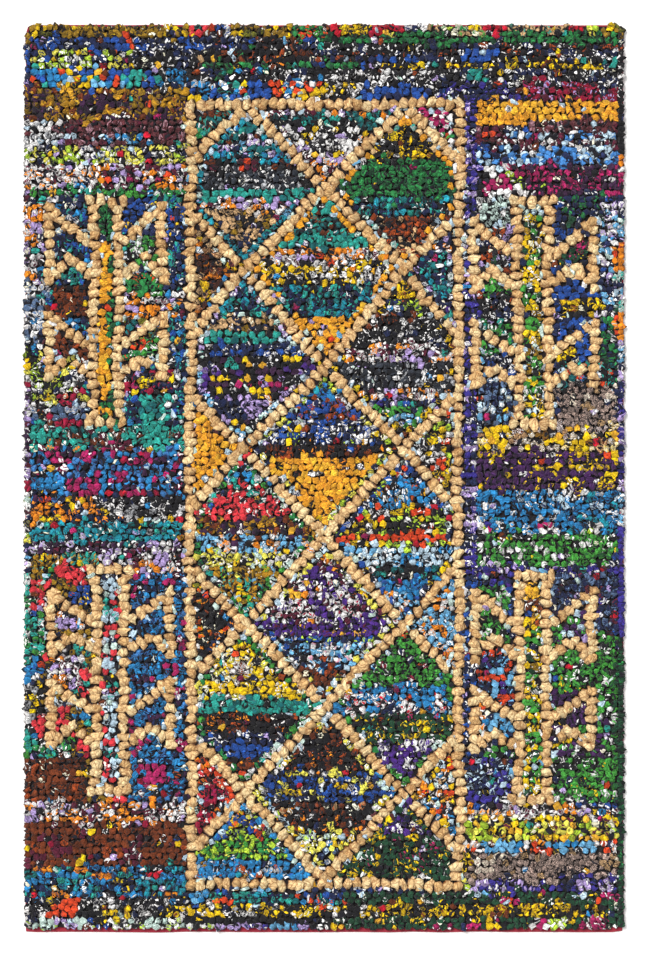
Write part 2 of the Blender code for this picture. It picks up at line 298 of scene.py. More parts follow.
# Patches of the borders and bands in centimetres. A later patch lies over an earlier one.
PATCHES = """
rag            top   bottom left  right
navy_print     0     185    0     122
mustard_yellow 0     3.2    0     61
coral_yellow   0     2.6    33.3  37
flag           0     2.6    37    41.5
leaf_red       0     3      54    61
navy_print     2.8   5.2    0     61
royal          2.9   5.2    13    22
brown_print    2.8   5      47.4  55.5
lemon_print    4.9   9      0.4   21.6
night_white    4.9   8.9    21.6  34.8
night_rust     5     9.5    34.8  58
emerald        7.5   8.9    36.8  58
zebra          8.9   11.6   38.8  60.5
carnival       8.9   13.4   1.6   27.7
teal_print     9     13.5   27.7  50
harbour        11.4  15.6   33    62.2
royal          11.4  15.6   45.5  49.6
scarlet_yellow 11.4  15.6   49.6  52.7
yellow         12.4  15.6   54.7  61.8
mustard_plum   13    19.7   0.4   33
red            0     2.4    60.8  64.7
wasp           0     2.4    64.7  70.4
red            0     2.6    70.4  77
lemon_print    0     2.6    77    82.6
beige_green    0     2.6    82.6  93.3
red            0     2.6    93.3  98.6
beige_teal     0     2.6    98.6  110
red            0     2.6    110   114.5
lime           0     2.6    114.5 116.7
mustard_yellow 0     2.8    116.7 122
emerald        2     3.8    60    122
rust_specks    3.8   7.4    60    122
royal          6.8   8.2    70    80.5
royal          5.5   8      88.7  94.8
emerald        7.4   9.2    60.2  69
wasp           7.4   9.2    70.8  117
teal           7.4   9.2    117   122
zebra          9     12.6   60.2  90
teal           9.4   12.6   90    93.7
night_white    9     12.6   93.7  122
crimson        10.4  12.6   103   105.6
wasp_white     12.4  15.8   60.2  68.3
royal          12.4  15.8   68.3  82.8
indigo_print   12.4  15.8   83.6  102.6
crimson_lilac  12.4  15.2   102.6 122
plum_brown     19.3  25.2   0     33.2
pale           19.5  25     0.4   7.3
ice            22.9  24.1   8     24
lemon_print    24.8  29.3   0     33.2
orchid         28.3  33.6   0     33.2
leaf_print     33.3  35.4   0     33.2
navy_teal      34.8  82     0     33.2
teal           34.8  42     0.4   4.6
orchid         36.8  52.1   0.4   3.4
slate          53    64.3   0.4   4.6
rust           53    60.2   5.7   12.4
rust           63.2  70.4   6.3   12.4
lime_crimson   67.3  79.5   0.4   12.4
emerald        35.5  81     14.4  19
ochre          44    78.6   14.4  17.2
royal_wasp     35.8  43.4   20.5  32
green_white    43.4  49     20.5  28.5
leaf_red       51    55.1   19.5  28.5
orchid         55.1  60.2   19.5  32
teal_olive     60.2  63.4   19.5  28
leaf_red       63.4  68.3   20.5  28.5
crimson_yellow 70.4  75.4   19.5  30.5
slate          77.7  80.7   1.6   13
crimson        80.5  82.6   4.9   11.4
turquoise      81.8  87.2   0     33.2
teal           75.4  87.6   23.2  29.3
azure_berry    86.4  97     0     33.2
hearth         96.4  98.4   0     17
zebra          96.4  101.5  14    33.2
amber_night    97.8  102    0     17.5
ash_amber      98.5  102    17    33.2
sea_teal       101.5 105.9  0     33.2
lilac_plum     105.4 109.5  0     33.2
mustard_navy   109   159    0     16
azure_plum     111   159    20    33.2
magenta        150.5 154.2  23    28.4
mustard_teal   107.8 111.6  1.5   15.5
orchid         107.8 112    21.6  33.2
coral          110   113.1  6.3   12.4
coral          113   118.7  0.8   6.3
coral          113   114.8  10    13.3
royal_wasp     114.8 118.2  8.3   14
coral          126   129.4  2.5   4.4
leaf_teal      118.7 128    0     6
orchid         119.2 123.2  6     12.4
orchid         128.5 134.7  5     11.5
azure          130   133.6  0.4   3.4
ash_amber      133.6 144    0.4   3.4
coral          131   137.7  11.3  13.9
coral          139   145    6.6   10
coral          139.7 147.3  2.6   4.4
harbour        140   142.6  11.6  14.7
leaf_teal      145   149    0     10
coral          145.3 150    10.3  13
rust           149   158.4  0     12.4
coral_mint     113   157    15.6  19.8
orchid         158   163    0     33.2
coral          156.8 158.8  17    20.5
rust_patch     162.7 171.3  0     33.2
deep_sea       171.1 178.3  0     33.4
azure          178   181.2  20.5  26.6
zebra          178.2 182.8  0     34
scarlet        178.5 181.2  4.9   11
wasp           179.8 182.4  15.5  21.6
wasp           178.7 181.8  27.7  33
pale_lime      182.3 185    0     38.2
lilac_print    182.3 185    6.3   10.4
blue_white     182.3 185    12    17
indigo_print   15    117    88.9  92.6
ochre          15.2  19.8   91.4  121.6
ochre          19    21     91.4  102
plum_brown     19.6  22.6   102   122
plum_brown     20.9  24     91.4  97.5
blue_maroon    22.2  24.4   97    121
maroon_white   23.8  25.6   95    122
blue           25.3  28.9   91.2  120.5
magenta_white  28.5  34.8   93    102
berry          28.5  34.8   102   120.5
night          30.7  33.8   91.2  94
navy_print     34.8  82     92.4  122
mint_white     35    41     92.4  100.2
rust_lilac     41    51     92.4  100.2
leaf           51    55.1   94    100.2
rust_specks    54.8  60     92.4  100.2
leaf_print     60    67     92.4  100.2
navy_green     34.8  42     108.6 118
forest_berry   43.5  48.4   108.6 117
royal          52    56.1   108.6 119.4
wasp           56.1  59.4   108.6 118
royal          59.4  65.7   108.6 117.6
wasp           65.7  68.3   107.6 113
royal          65.7  69.6   113   117.6
sky_lilac      35.8  57.6   117.6 122
navy_green     57.6  73.5   117.6 122
orange_white   44.3  50.4   119.6 122
orange_white   58.9  64.7   119.4 122
teal_red       69    73.4   108.6 119.4
slate_sky      71.2  81.5   92.4  100.2
taupe          73.4  81.8   108.6 120.2
green_yellow   36    81     101.6 105.4
mint           36.6  38.6   101   106
yellow_print   81.6  87     91.4  121
yellow         82.2  87.4   93.7  98
yellow         83.4  86     105.9 109.4
yellow         81.8  83.4   110.6 114.8
yellow         83.4  85     115.4 120.6
purple_wasp    86.8  94.9   91.4  121.8
cyan_white     94.7  103.6  91.4  121.4
magenta_white  101.4 103.4  92    95
magenta_white  101.6 103.6  105   107.8
magenta_white  101.6 103.6  114.8 117.2
green_white    103.5 111    91.4  120.4
indigo_print   110   112.2  89    122
navy_print     112   159    89.2  122
navy_purple    112   117.1  91.7  100.2
green_white    114.4 125.3  92.6  98.4
sky_scarlet    126.5 138.6  92    100.2
orange_white   138.6 144.8  92    95
sky            140.5 144.6  93.6  100.2
green_white    146.4 149.3  93    100
denim          149.3 158    89.2  99.4
indigo         156.6 159    89.9  98
green_yellow   113   157    101.6 105.4
amber_print    113   122    101.6 105.4
green_white    124   158.4  107   120.4
navy_maroon    112   124.4  108   120.4
aubergine_leaf 119.4 126.7  107   115.5
forest         127   185    120.2 122
green_white    126.7 135.6  108.4 117.6
aubergine_leaf 135.6 149.2  107   117.6
green_white    149.2 158.6  107.6 120.4
night_yellow   158.2 160.2  94    109
orchid         159.2 162.2  89.6  121
lime_yellow    161.4 166.2  89.6  120.6
orange_white   165.6 169    89.8  120.8
sky            165.6 168.8  93.3  101
sky            165.6 168.6  107   112
sky            165.6 168.4  113   116
taupe          168.7 174.8  89.8  109
taupe          168.7 173.2  109   120.6
wasp           169   173    88.6  91
indigo_print   174.6 177.4  91    120.6
indigo_print   173.1 175    109   120.6
lemon_print    173.6 177.4  88.8  91
lilac_print    175.8 177.8  42.5  48.4
sky            175.8 177.8  47.6  51
lemon_print    175.8 177.6  51    54
sky            176.6 179.2  33.1  37.8
teal_navy      176.8 180    38.2  54
teal_red       177.4 180    54    65.5
red_orange     177.9 180    38    42
forest_spots   176.6 180.4  65.3  122
wasp_white     179.4 182.4  31.7  70
wasp           179.1 182    70    118
zebra          180   182.2  41.9  46.6
zebra          180   182.2  61.5  66
night          181.9 183.4  32    72
pale_lime      183   185    31.7  38.2
lilac_print    182.8 185    38.2  49
sky            182.8 185    49    56
lilac_print    182.8 185    56    59.4
zebra          182.8 185    59.4  62
yellow         182.8 185    62    64.4
forest_spots   181.8 185    64.4  122
yellow         182   184.6  94    98
magenta_white  181.8 184.4  103   110
"""

# The outermost loops on the left and right run along the edge in their own rags, in centimetres down it
LEFT_EDGE = """
rag             top    bottom
mustard_yellow  0      4
navy_print      4      12
mustard_plum    12     19
pale            19     25
lemon_print     25     29
orchid          29     52
slate           52     65
lime_crimson    65     74
lilac_plum      74     93
crimson         93     95
pale_lime       95     98
maroon_white    98     101
lemon_print     101    106
sky_lilac       106    113
leaf_teal       113    130
azure           130    133.6
ash_amber       133.6  144
leaf_teal       144    149
rust            149    158
orchid          158    163
rust_patch      163    172
deep_sea        172    178
zebra           178    182
pale_lime       182    185
"""
RIGHT_EDGE = """
rag             top    bottom
mustard_yellow  0      3
rust_specks     3      9
night_white     9      15
night           15     27
orange          27     29
berry           29     35
sky_lilac       35     43.9
orange          43.9   50
sky_lilac       50     58.9
orange          58.9   64.7
sky_lilac       64.7   73.5
indigo_print    73.5   95
sky_print       95     102
indigo          102    125
forest          125    185
"""


@dataclass(frozen=True)
class LoopSize:
    """One size of loop: its length on the row, its width across it, its strip, its mesh, and its form.

    A fold that turns by more than the fold angle, in degrees, is sharp.
    """

    along: float
    across: float
    strip: float
    leg: float
    sides: int
    steps: int
    pleat: float
    twist: float
    crumple: float
    boxiness: float
    fold_angle: float


class Girth(Enum):
    """The strips that the rug is looped from: rag, wide ecru jersey, and thin strays laid over them."""

    RAG = LoopSize(0.0172, 0.0158, 0.0062, 0.0040, 6, 5, 0.10, 0.6, 0.0026, 3.0, 32)
    ECRU = LoopSize(0.0240, 0.0262, 0.0098, 0.0050, 10, 5, 0.16, 0.7, 0.0030, 2.2, 70)
    STRIP = LoopSize(0.0200, 0.0072, 0.0044, 0.0024, 6, 5, 0.10, 0.3, 0.0020, 3.0, 40)


class Print(Enum):
    """How the second dye lies on a rag: its patches for each metre, and how much it curls."""

    PATCH = (120.0, 0.0)
    FLECK = (215.0, 0.0)
    CURL = (170.0, 1.0)


def linear(hex_colour: str) -> Colour:
    """Turn an sRGB hex colour into linear light.

    Args:
        hex_colour: Six hex digits.

    Returns:
        Red, green and blue in linear light.
    """
    steps = [int(hex_colour[index:index + 2], 16) / 255 for index in (0, 2, 4)]
    lights = [step / 12.92 if step < 0.04045 else ((step + 0.055) / 1.055) ** 2.4 for step in steps]
    red, green, blue = lights
    return red, green, blue


@dataclass(frozen=True)
class Cloth:
    """One cloth of a rag: its dye, the dye of its flecks, and how often it comes up."""

    base: Colour
    fleck: Colour
    printed: bool
    weight: float

    @classmethod
    def parse(cls, text: str) -> "Cloth":
        """Read a cloth written as dye, dye/fleck or dye/fleck*weight.

        Args:
            text: The cloth's short form.

        Returns:
            The cloth.
        """
        dyes, _, weight = text.partition("*")
        base, _, fleck = dyes.partition("/")
        return cls(linear(DYES[base]), linear(DYES[fleck or base]), bool(fleck), float(weight or 1))


@dataclass(frozen=True)
class Rag:
    """A named mix of cloths that fills one patch of the rug."""

    name: str
    cloths: tuple[Cloth, ...]
    look: Print
    big: bool
    busy: bool

    @classmethod
    def named(cls, name: str) -> "Rag":
        """Build a rag from its row of the table above.

        Args:
            name: A key of RAGS.

        Returns:
            The rag.
        """
        look = Print.FLECK
        if name in PATCHY_RAGS:
            look = Print.PATCH
        if name in CURLY_RAGS:
            look = Print.CURL
        cloths = tuple(Cloth.parse(text) for text in RAGS[name].split())
        printed = sum(cloth.weight for cloth in cloths if cloth.printed)
        busy = printed > BUSY_SHARE * sum(cloth.weight for cloth in cloths)
        return cls(name, cloths, look, name in BIG_RAGS, busy)

    def pick(self, chance: random.Random) -> Cloth:
        """Draw one cloth by weight."""
        return chance.choices(self.cloths, weights=[cloth.weight for cloth in self.cloths])[0]


@dataclass(frozen=True)
class Patch:
    """A rectangle of one rag, in centimetres from the rug's top left corner."""

    rag: str
    top: float
    bottom: float
    left: float = 0.0
    right: float = RUG_WIDTH * 100

    def holds(self, across: float, down: float) -> bool:
        """Tell whether a place lies on the patch."""
        return self.left <= across < self.right and self.top <= down < self.bottom


def drift(x: float, y: float, z: float) -> Vector:
    """Return the smooth random shift of a place, the same in every run."""
    return Vector([noise.noise((x + step, y - step, z + 2 * step)) for step in DRIFT_STEPS])


def read_patches(table: str) -> list[Patch]:
    """Read a table of patches, whose first line names its columns.

    Args:
        table: The table's text.

    Returns:
        The patches in the table's order.
    """
    rows = [line.split() for line in table.strip().splitlines()]
    return [Patch(row[0], *[float(value) for value in row[1:]]) for row in rows[1:]]


@dataclass(frozen=True)
class Lattice:
    """The middle panel: a frame, and the diagonals that cross it and cut it into diamonds."""

    half_width: float = 0.273
    top: float = 0.762
    bottom: float = -0.826
    column: float = 0.162
    rows: tuple[float, ...] = (
        0.757, 0.592, 0.426, 0.225, 0.060, -0.119, -0.296, -0.463, -0.640, -0.816,
    )
    least_span: float = 0.4

    def height_at(self, row: float) -> float:
        """Return the height of a place counted in lattice rows."""
        return float(np.interp(row, range(len(self.rows)), self.rows))

    def row_at(self, y: float) -> float:
        """Return the lattice row, whole or part, of a height."""
        return float(np.interp(-y, [-height for height in self.rows], range(len(self.rows))))

    def frame_lines(self) -> list[list[Point]]:
        """Return the frame's four sides as point lists."""
        side = self.half_width
        corners = [(-side, self.top), (side, self.top), (side, self.bottom), (-side, self.bottom)]
        return [[corners[index], corners[(index + 1) % 4]] for index in range(4)]

    def diagonals(self) -> list[list[Point]]:
        """Return every diagonal as a list of points, from its top end to its bottom end."""
        last = len(self.rows) - 1
        reach = self.half_width / self.column
        lines = []
        for hand in (-1, 1):
            for crossing in range(-1, last + 3, 2):
                start = max(0.0, crossing - reach)
                end = min(float(last), crossing + reach)
                if end - start < self.least_span:
                    continue
                bends = [row for row in range(last + 1) if start < row < end]
                stops = [start, *bends, end]
                line = [(hand * (row - crossing) * self.column, self.height_at(row)) for row in stops]
                lines.append(line)
        return lines

    def holds(self, x: float, y: float) -> bool:
        """Tell whether a place lies on the panel."""
        return abs(x) < self.half_width and self.bottom < y < self.top

    def cell_at(self, x: float, y: float) -> tuple[tuple[int, int], float]:
        """Find the lattice cell of a place.

        Args:
            x: Place across the rug.
            y: Place along the rug.

        Returns:
            The cell's column and row, and how far down the cell the place lies, from 0 to 1.
        """
        side = x / self.column
        row = self.row_at(y)
        rising = math.floor((side + row + 1) / 2)
        falling = math.floor((row - side + 1) / 2)
        cell = (rising - falling, rising + falling)
        return cell, (row - (cell[1] - 1)) / 2


@dataclass(frozen=True)
class CombFigure:
    """A traditional comb figure: two upright bars, with two hooks on each side.

    A hook is a leg beside the bar, with an arm that falls from its top and a foot that rises and falls from
    its end. The two hooks are given by the heights of their legs' ends over the figure's middle.
    """

    left_bar: float
    right_bar: float
    middle: float
    half_height: float
    hooks: tuple[Point, Point]
    reach: float = 0.091
    cap: float = 0.008
    knee: float = 0.6
    arm_knee: float = 0.25
    arm_end: float = 0.53
    foot_knee: float = 0.30

    def hook(self, top: float, bottom: float) -> list[list[Point]]:
        """Return one hook's strokes as points out from its bar.

        Args:
            top: Height of its leg's top.
            bottom: Height of its leg's end.

        Returns:
            Its leg, its arm and its foot.
        """
        tall = top - bottom
        knee = self.knee * self.reach
        return [
            [(self.reach, top), (self.reach, bottom)],
            [(self.reach, top), (knee, top - self.arm_knee * tall), (0.0, top - self.arm_end * tall)],
            [(self.reach, bottom), (knee, bottom + self.foot_knee * tall), (0.0, bottom)],
        ]

    def lines(self) -> list[list[Point]]:
        """Return the figure's strokes as point lists."""
        top = self.middle + self.half_height
        bottom = self.middle - self.half_height
        strokes = [
            [(self.left_bar - self.cap, top), (self.right_bar + self.cap, top)],
            [(self.left_bar - self.cap, bottom), (self.right_bar + self.cap, bottom)],
            [(self.left_bar, top), (self.left_bar, bottom)],
            [(self.right_bar, top), (self.right_bar, bottom)],
        ]
        for bar, hand in ((self.left_bar, -1), (self.right_bar, 1)):
            for stroke in self.hook(*self.hooks[0]) + self.hook(*self.hooks[1]):
                strokes.append([(bar + hand * out, self.middle + up) for out, up in stroke])
        return strokes


FIGURES = {
    "upper_left": CombFigure(-0.469, -0.420, 0.341, 0.226, ((0.212, 0.062), (-0.009, -0.132))),
    "lower_left": CombFigure(-0.465, -0.407, -0.411, 0.225, ((0.180, 0.057), (-0.002, -0.129))),
    "upper_right": CombFigure(0.395, 0.456, 0.338, 0.227, ((0.186, 0.049), (-0.021, -0.149))),
    "lower_right": CombFigure(0.396, 0.452, -0.426, 0.226, ((0.200, 0.057), (-0.006, -0.121))),
}


@dataclass(frozen=True)
class Chart:
    """Which rag the maker looped at each place of the rug."""

    lattice: Lattice
    wobble: float = 0.0035
    wobble_size: float = 0.045

    def __post_init__(self) -> None:
        """Read the tables once."""
        object.__setattr__(self, "rags", {name: Rag.named(name) for name in RAGS})
        object.__setattr__(self, "patches", list(reversed(read_patches(PATCHES))))
        object.__setattr__(self, "edges", {-1: read_patches(LEFT_EDGE), 1: read_patches(RIGHT_EDGE)})
        object.__setattr__(self, "cells", {cell: self.read_cell(text) for cell, text in CELLS.items()})

    @staticmethod
    def read_cell(text: str) -> tuple[str, list[tuple[str, float]]]:
        """Read a cell's text.

        Args:
            text: The contour rag, a colon, and the stripes with their shares.

        Returns:
            The contour rag, and each stripe's rag with the share of the height where it ends.
        """
        contour, _, stripes = text.partition(":")
        pairs = [stripe.split() for stripe in stripes.split(",")]
        total = sum(float(share) for _, share in pairs)
        ends = []
        reached = 0.0
        for name, share in pairs:
            reached += float(share) / total
            ends.append((name, reached))
        return contour, ends

    def wander(self, x: float, y: float) -> Point:
        """Shift a place a little, so that patches don't end on ruled lines."""
        shift = drift(x / self.wobble_size, y / self.wobble_size, 0.0)
        return x + self.wobble * shift.x, y + self.wobble * shift.y

    def stripe_at(self, x: float, y: float) -> Rag:
        """Return the rag of a stripe inside the lattice panel."""
        x, y = self.wander(x, y)
        cell, depth = self.lattice.cell_at(x, y)
        _, stripes = self.cells.get(cell, self.cells[(0, 0)])
        for name, end in stripes:
            if depth <= end:
                return self.rags[name]
        return self.rags[stripes[-1][0]]

    def contour_at(self, x: float, y: float) -> Rag:
        """Return the rag of the row that follows the ecru lines round a cell."""
        cell, _ = self.lattice.cell_at(x, y)
        contour, _ = self.cells.get(cell, self.cells[(0, 0)])
        return self.rags[contour]

    def band_at(self, x: float, y: float) -> Rag:
        """Return the rag of a place in the borders and bands."""
        x, y = self.wander(x, y)
        across = (x + RUG_WIDTH / 2) * 100
        down = (RUG_LENGTH / 2 - y) * 100
        for patch in self.patches:
            if patch.holds(across, down):
                return self.rags[patch.rag]
        return self.rags["navy_print"]

    def edge_at(self, hand: int, y: float) -> Rag:
        """Return the rag of the outermost column on the left, -1, or on the right, 1."""
        down = (RUG_LENGTH / 2 - y) * 100
        for patch in self.edges[hand]:
            if patch.top <= down < patch.bottom:
                return self.rags[patch.rag]
        return self.rags["navy_print"]

    def rag_at(self, x: float, y: float) -> Rag:
        """Return the rag of any place that isn't on a line of its own."""
        if self.lattice.holds(x, y):
            return self.stripe_at(x, y)
        return self.band_at(x, y)


@dataclass(frozen=True)
class Loop:
    """One loop of the pile: its place, how it turns and stretches, and its cloth."""

    x: float
    y: float
    heading: float
    girth: Girth
    along: float
    across: float
    lift: float
    lean: Point
    base: Colour
    fleck: Colour
    share: float
    look: Print


@dataclass(frozen=True)
class Hand:
    """How uneven the loops of one girth come out: spreads of their size, height, lean, dyes and angle.

    The lean is in radians, the angle in degrees, and the sizes and dyes are shares of the plain ones.
    """

    along: Point
    across: Point
    lift: Point
    lean: Point
    shades: Point
    turn: float = 0.0


@dataclass
class Ground:
    """The places taken so far, as discs on a coarse grid, so that loops don't stand in each other."""

    pitch: float = 0.02
    squeeze: float = 0.90
    discs: dict[tuple[int, int], list[tuple[float, float, float]]] = field(default_factory=dict)

    def take(self, x: float, y: float, radius: float) -> None:
        """Mark a disc as taken."""
        key = (math.floor(x / self.pitch), math.floor(y / self.pitch))
        self.discs.setdefault(key, []).append((x, y, radius))

    def near(self, x: float, y: float) -> Iterator[tuple[float, float, float]]:
        """Yield the discs round a place."""
        column = math.floor(x / self.pitch)
        row = math.floor(y / self.pitch)
        for down in (-1, 0, 1):
            for across in (-1, 0, 1):
                yield from self.discs.get((column + across, row + down), ())

    def clear(self, x: float, y: float, radius: float) -> bool:
        """Tell whether a disc fits between those taken."""
        for other_x, other_y, other in self.near(x, y):
            if math.hypot(x - other_x, y - other_y) < (radius + other) * self.squeeze:
                return False
        return True


@dataclass
class Planting:
    """The maker's hand: places every loop of the rug, line by line and row by row."""

    chart: Chart
    seed: int = 7
    rag_hand: Hand = Hand((0.80, 1.20), (0.78, 1.16), (-0.0016, 0.0014), (0.20, 0.22), (0.22, 0.22), 32)
    ecru_hand: Hand = Hand((0.88, 1.10), (0.82, 1.08), (-0.0008, 0.0010), (0.14, 0.14), (0.10, 0.16), 16)
    strip_hand: Hand = Hand((0.6, 1.15), (0.7, 1.4), (-0.0012, 0.0010), (0.15, 0.15), (0.15, 0.15))
    ecru_pitch: float = 0.0186
    rag_pitch: float = 0.0140
    row_pitch: float = 0.0130
    contour_offset: float = 0.0182
    contour_drift: float = 0.0008
    contour_size: float = 0.95
    contour_pales: tuple[str, ...] = ("ice", "mint")
    contour_pale_share: float = 0.14
    contour_stripe_share: float = 0.40
    edge_pitch: float = 0.0118
    edge_drift: float = 0.0008
    edge_margin: float = 0.99
    left_overhang: float = 0.0026
    right_overhang: float = 0.0014
    top_overhang: float = 0.0014
    bottom_setback: float = 0.0004
    row_wave: float = 0.0022
    row_wave_size: float = 0.11
    row_wave_slice: float = 5.0
    row_inset: float = 0.0006
    row_drift: float = 0.0026
    row_steps: Point = (0.9, 1.1)
    row_margin: float = 0.97
    row_pieces: int = 6
    edge_row_drift: float = 0.0022
    search_steps: int = 4
    filling_sizes: Point = (0.92, 0.76)
    filling_pitch: float = 0.004
    rag_radius: float = 0.0058
    ecru_radius: float = 0.0084
    ecru_half_span: float = 0.0046
    ecru_rise: float = 0.0022
    ecru_drift: float = 0.0022
    ecru_sway: float = 0.0065
    ecru_sway_size: float = 0.10
    ecru_sway_slice: float = 3.5
    crossing_room: float = 0.68
    big_size: float = 1.08
    rim_drop: float = 0.0016
    rim_drop_reach: float = 0.014
    indigo_x: float = 0.2915
    indigo_pitch: float = 0.0125
    indigo_reach: Point = (0.774, -0.245)
    indigo_band_x: float = 0.291
    strip_share: float = 0.6
    strip_length: float = 0.036
    strip_rows: float = 0.019
    strip_stagger: float = 0.37
    stray_share: float = 0.20
    stray_reach: float = 0.014
    stray_squash: float = 0.7
    scrap_share: float = 0.055
    speckled_share: float = 0.6
    speckle_dyes: tuple[str, ...] = ("white", "black", "cream", "black")
    contrast: float = 0.45
    pale_flecks: Point = (0.24, 0.48)
    dark_flecks: Point = (0.40, 0.62)
    near_flecks: Point = (0.26, 0.50)
    brightest: float = 0.95
    strips: int = 260
    strip_rise: float = 0.0016
    strip_flecks: float = 0.2
    pale_rags: tuple[str, ...] = ("ice", "mint", "pale")
    ecru_strip_share: float = 0.34
    ecru_strip_reach: Point = (0.009, 0.013)
    ecru_strip_turn: float = 0.5

    def __post_init__(self) -> None:
        """Start with bare cloth."""
        self.chance = random.Random(self.seed)
        self.ground = Ground()
        self.groups: dict[str, list[Loop]] = {}

    @property
    def left(self) -> float:
        """Return the pile's left edge."""
        return -RUG_WIDTH / 2 + LIP_SIDE

    @property
    def right(self) -> float:
        """Return the pile's right edge."""
        return RUG_WIDTH / 2 - LIP_SIDE

    @property
    def top(self) -> float:
        """Return the pile's top edge, whose loops hang a little over the lip."""
        return RUG_LENGTH / 2 - LIP_TOP + self.top_overhang

    @property
    def bottom(self) -> float:
        """Return the pile's bottom edge, whose loops stand back from the lip."""
        return -RUG_LENGTH / 2 + LIP_BOTTOM + self.bottom_setback

    def inside(self, x: float, y: float, margin: float) -> bool:
        """Tell whether a loop's middle stays on the pile, with its drawn-in corners.

        Args:
            x: Place across the rug.
            y: Place along the rug.
            margin: How far the loop reaches.

        Returns:
            True where the loop fits.
        """
        gap_x = min(x - self.left, self.right - x)
        gap_y = min(y - self.bottom, self.top - y)
        side = (1 if x > 0 else -1, 1 if y > 0 else -1)
        return min(gap_x, gap_y) >= margin and gap_x + gap_y >= 2 * margin + CORNER_PULL[side]

    def cloth_of(self, rag: Rag, x: float, y: float) -> Cloth:
        """Draw a cloth, often the same as beside it, because one strip makes several loops.

        Args:
            rag: The rag to draw from.
            x: Place across the rug.
            y: Place along the rug.

        Returns:
            The cloth.
        """
        if self.chance.random() > self.strip_share:
            return rag.pick(self.chance)
        row = math.floor(y / self.strip_rows)
        column = math.floor(x / self.strip_length + self.strip_stagger * row)
        return rag.pick(random.Random(f"{rag.name} {column} {row}"))

    def rag_near(self, x: float, y: float) -> Rag:
        """Return the rag of a place, or now and then of a place beside it, so that stripes mingle."""
        chance = self.chance
        if chance.random() < self.scrap_share:
            return self.chart.rags["scraps"]
        if chance.random() < self.stray_share:
            x += chance.gauss(0, self.stray_reach)
            y += chance.gauss(0, self.stray_reach * self.stray_squash)
        return self.chart.rag_at(x, y)

    def shade(self, colour: Colour, amount: float) -> Colour:
        """Make a colour a little lighter or darker.

        Args:
            colour: The colour in linear light.
            amount: The most that it changes.

        Returns:
            The changed colour.
        """
        factor = 1 + amount * self.chance.uniform(-1, 1)
        red, green, blue = [min(channel * factor, self.brightest) for channel in colour]
        return red, green, blue

    def fleck_share(self, cloth: Cloth) -> Point:
        """Return the least and the most of a cloth that its flecks cover: little where they are pale.

        Args:
            cloth: The printed cloth.

        Returns:
            The two shares.
        """
        contrast = cloth.fleck[1] - cloth.base[1]
        if contrast > self.contrast:
            return self.pale_flecks
        if contrast < -self.contrast:
            return self.dark_flecks
        return self.near_flecks

    def add_loop(
        self, group: str, place: tuple[float, float, float], girth: Girth, hand: Hand, cloth: Cloth,
        share: float, look: Print, size: float = 1.0, rise: float = 0.0,
    ) -> None:
        """Add one loop, as uneven as the hand makes it.

        Args:
            group: The piece that it belongs to.
            place: Where it stands across and along the rug, and its heading.
            girth: The strip that it is looped from.
            hand: How uneven it comes out.
            cloth: Its cloth.
            share: How much of the cloth the flecks cover.
            look: How the flecks lie.
            size: Its size beside a plain loop.
            rise: How far its top stands over a plain loop's.
        """
        chance = self.chance
        self.groups.setdefault(group, []).append(Loop(
            *place,
            girth,
            size * chance.uniform(*hand.along),
            size * chance.uniform(*hand.across),
            rise + chance.uniform(*hand.lift),
            (chance.gauss(0, hand.lean[0]), chance.gauss(0, hand.lean[1])),
            self.shade(cloth.base, hand.shades[0]),
            self.shade(cloth.fleck, hand.shades[1]),
            share,
            look,
        ))

    def plant(self, group: str, x: float, y: float, heading: float, rag: Rag, size: float = 1.0) -> None:
        """Add one rag loop.

        Args:
            group: The piece that it belongs to.
            x: Place across the rug.
            y: Place along the rug.
            heading: The angle of its row.
            rag: The rag that it is looped from.
            size: Its size beside a plain loop.
        """
        chance = self.chance
        cloth = self.cloth_of(rag, x, y)
        if rag.busy and not cloth.printed and chance.random() < self.speckled_share:
            cloth = Cloth(cloth.base, linear(DYES[chance.choice(self.speckle_dyes)]), True, 1.0)
        share = chance.uniform(*self.fleck_share(cloth)) if cloth.printed else 0.0
        size *= self.big_size if rag.big else 1.0
        rim = min(x - self.left, self.right - x, y - self.bottom, self.top - y)
        drop = self.rim_drop * max(0.0, 1 - rim / self.rim_drop_reach)
        heading += math.radians(chance.gauss(0, self.rag_hand.turn))
        place = (x, y, heading)
        self.add_loop(group, place, Girth.RAG, self.rag_hand, cloth, share, rag.look, size, -drop)
        self.ground.take(x, y, self.rag_radius * size)

    def plant_ecru(self, group: str, x: float, y: float, heading: float) -> None:
        """Add one ecru loop, which takes two discs across its line.

        Args:
            group: The piece that it belongs to.
            x: Place across the rug.
            y: Place along the rug.
            heading: The angle of its line.
        """
        chance = self.chance
        hand = self.ecru_hand
        cloth = self.chart.rags["ecru"].pick(chance)
        place = (x, y, heading + math.radians(chance.gauss(0, hand.turn)))
        self.add_loop(group, place, Girth.ECRU, hand, cloth, 0.0, Print.PATCH, rise=self.ecru_rise)
        for side in (-1, 1):
            shift = side * self.ecru_half_span
            self.ground.take(x - shift * math.sin(heading), y + shift * math.cos(heading), self.ecru_radius)
        if chance.random() < self.ecru_strip_share:
            shift = chance.choice((-1, 1)) * chance.uniform(*self.ecru_strip_reach)
            spot = (x - shift * math.sin(heading), y + shift * math.cos(heading))
            turned = heading + chance.gauss(0, self.ecru_strip_turn)
            self.lay_strip(*spot, turned, chance.choice(self.pale_rags))

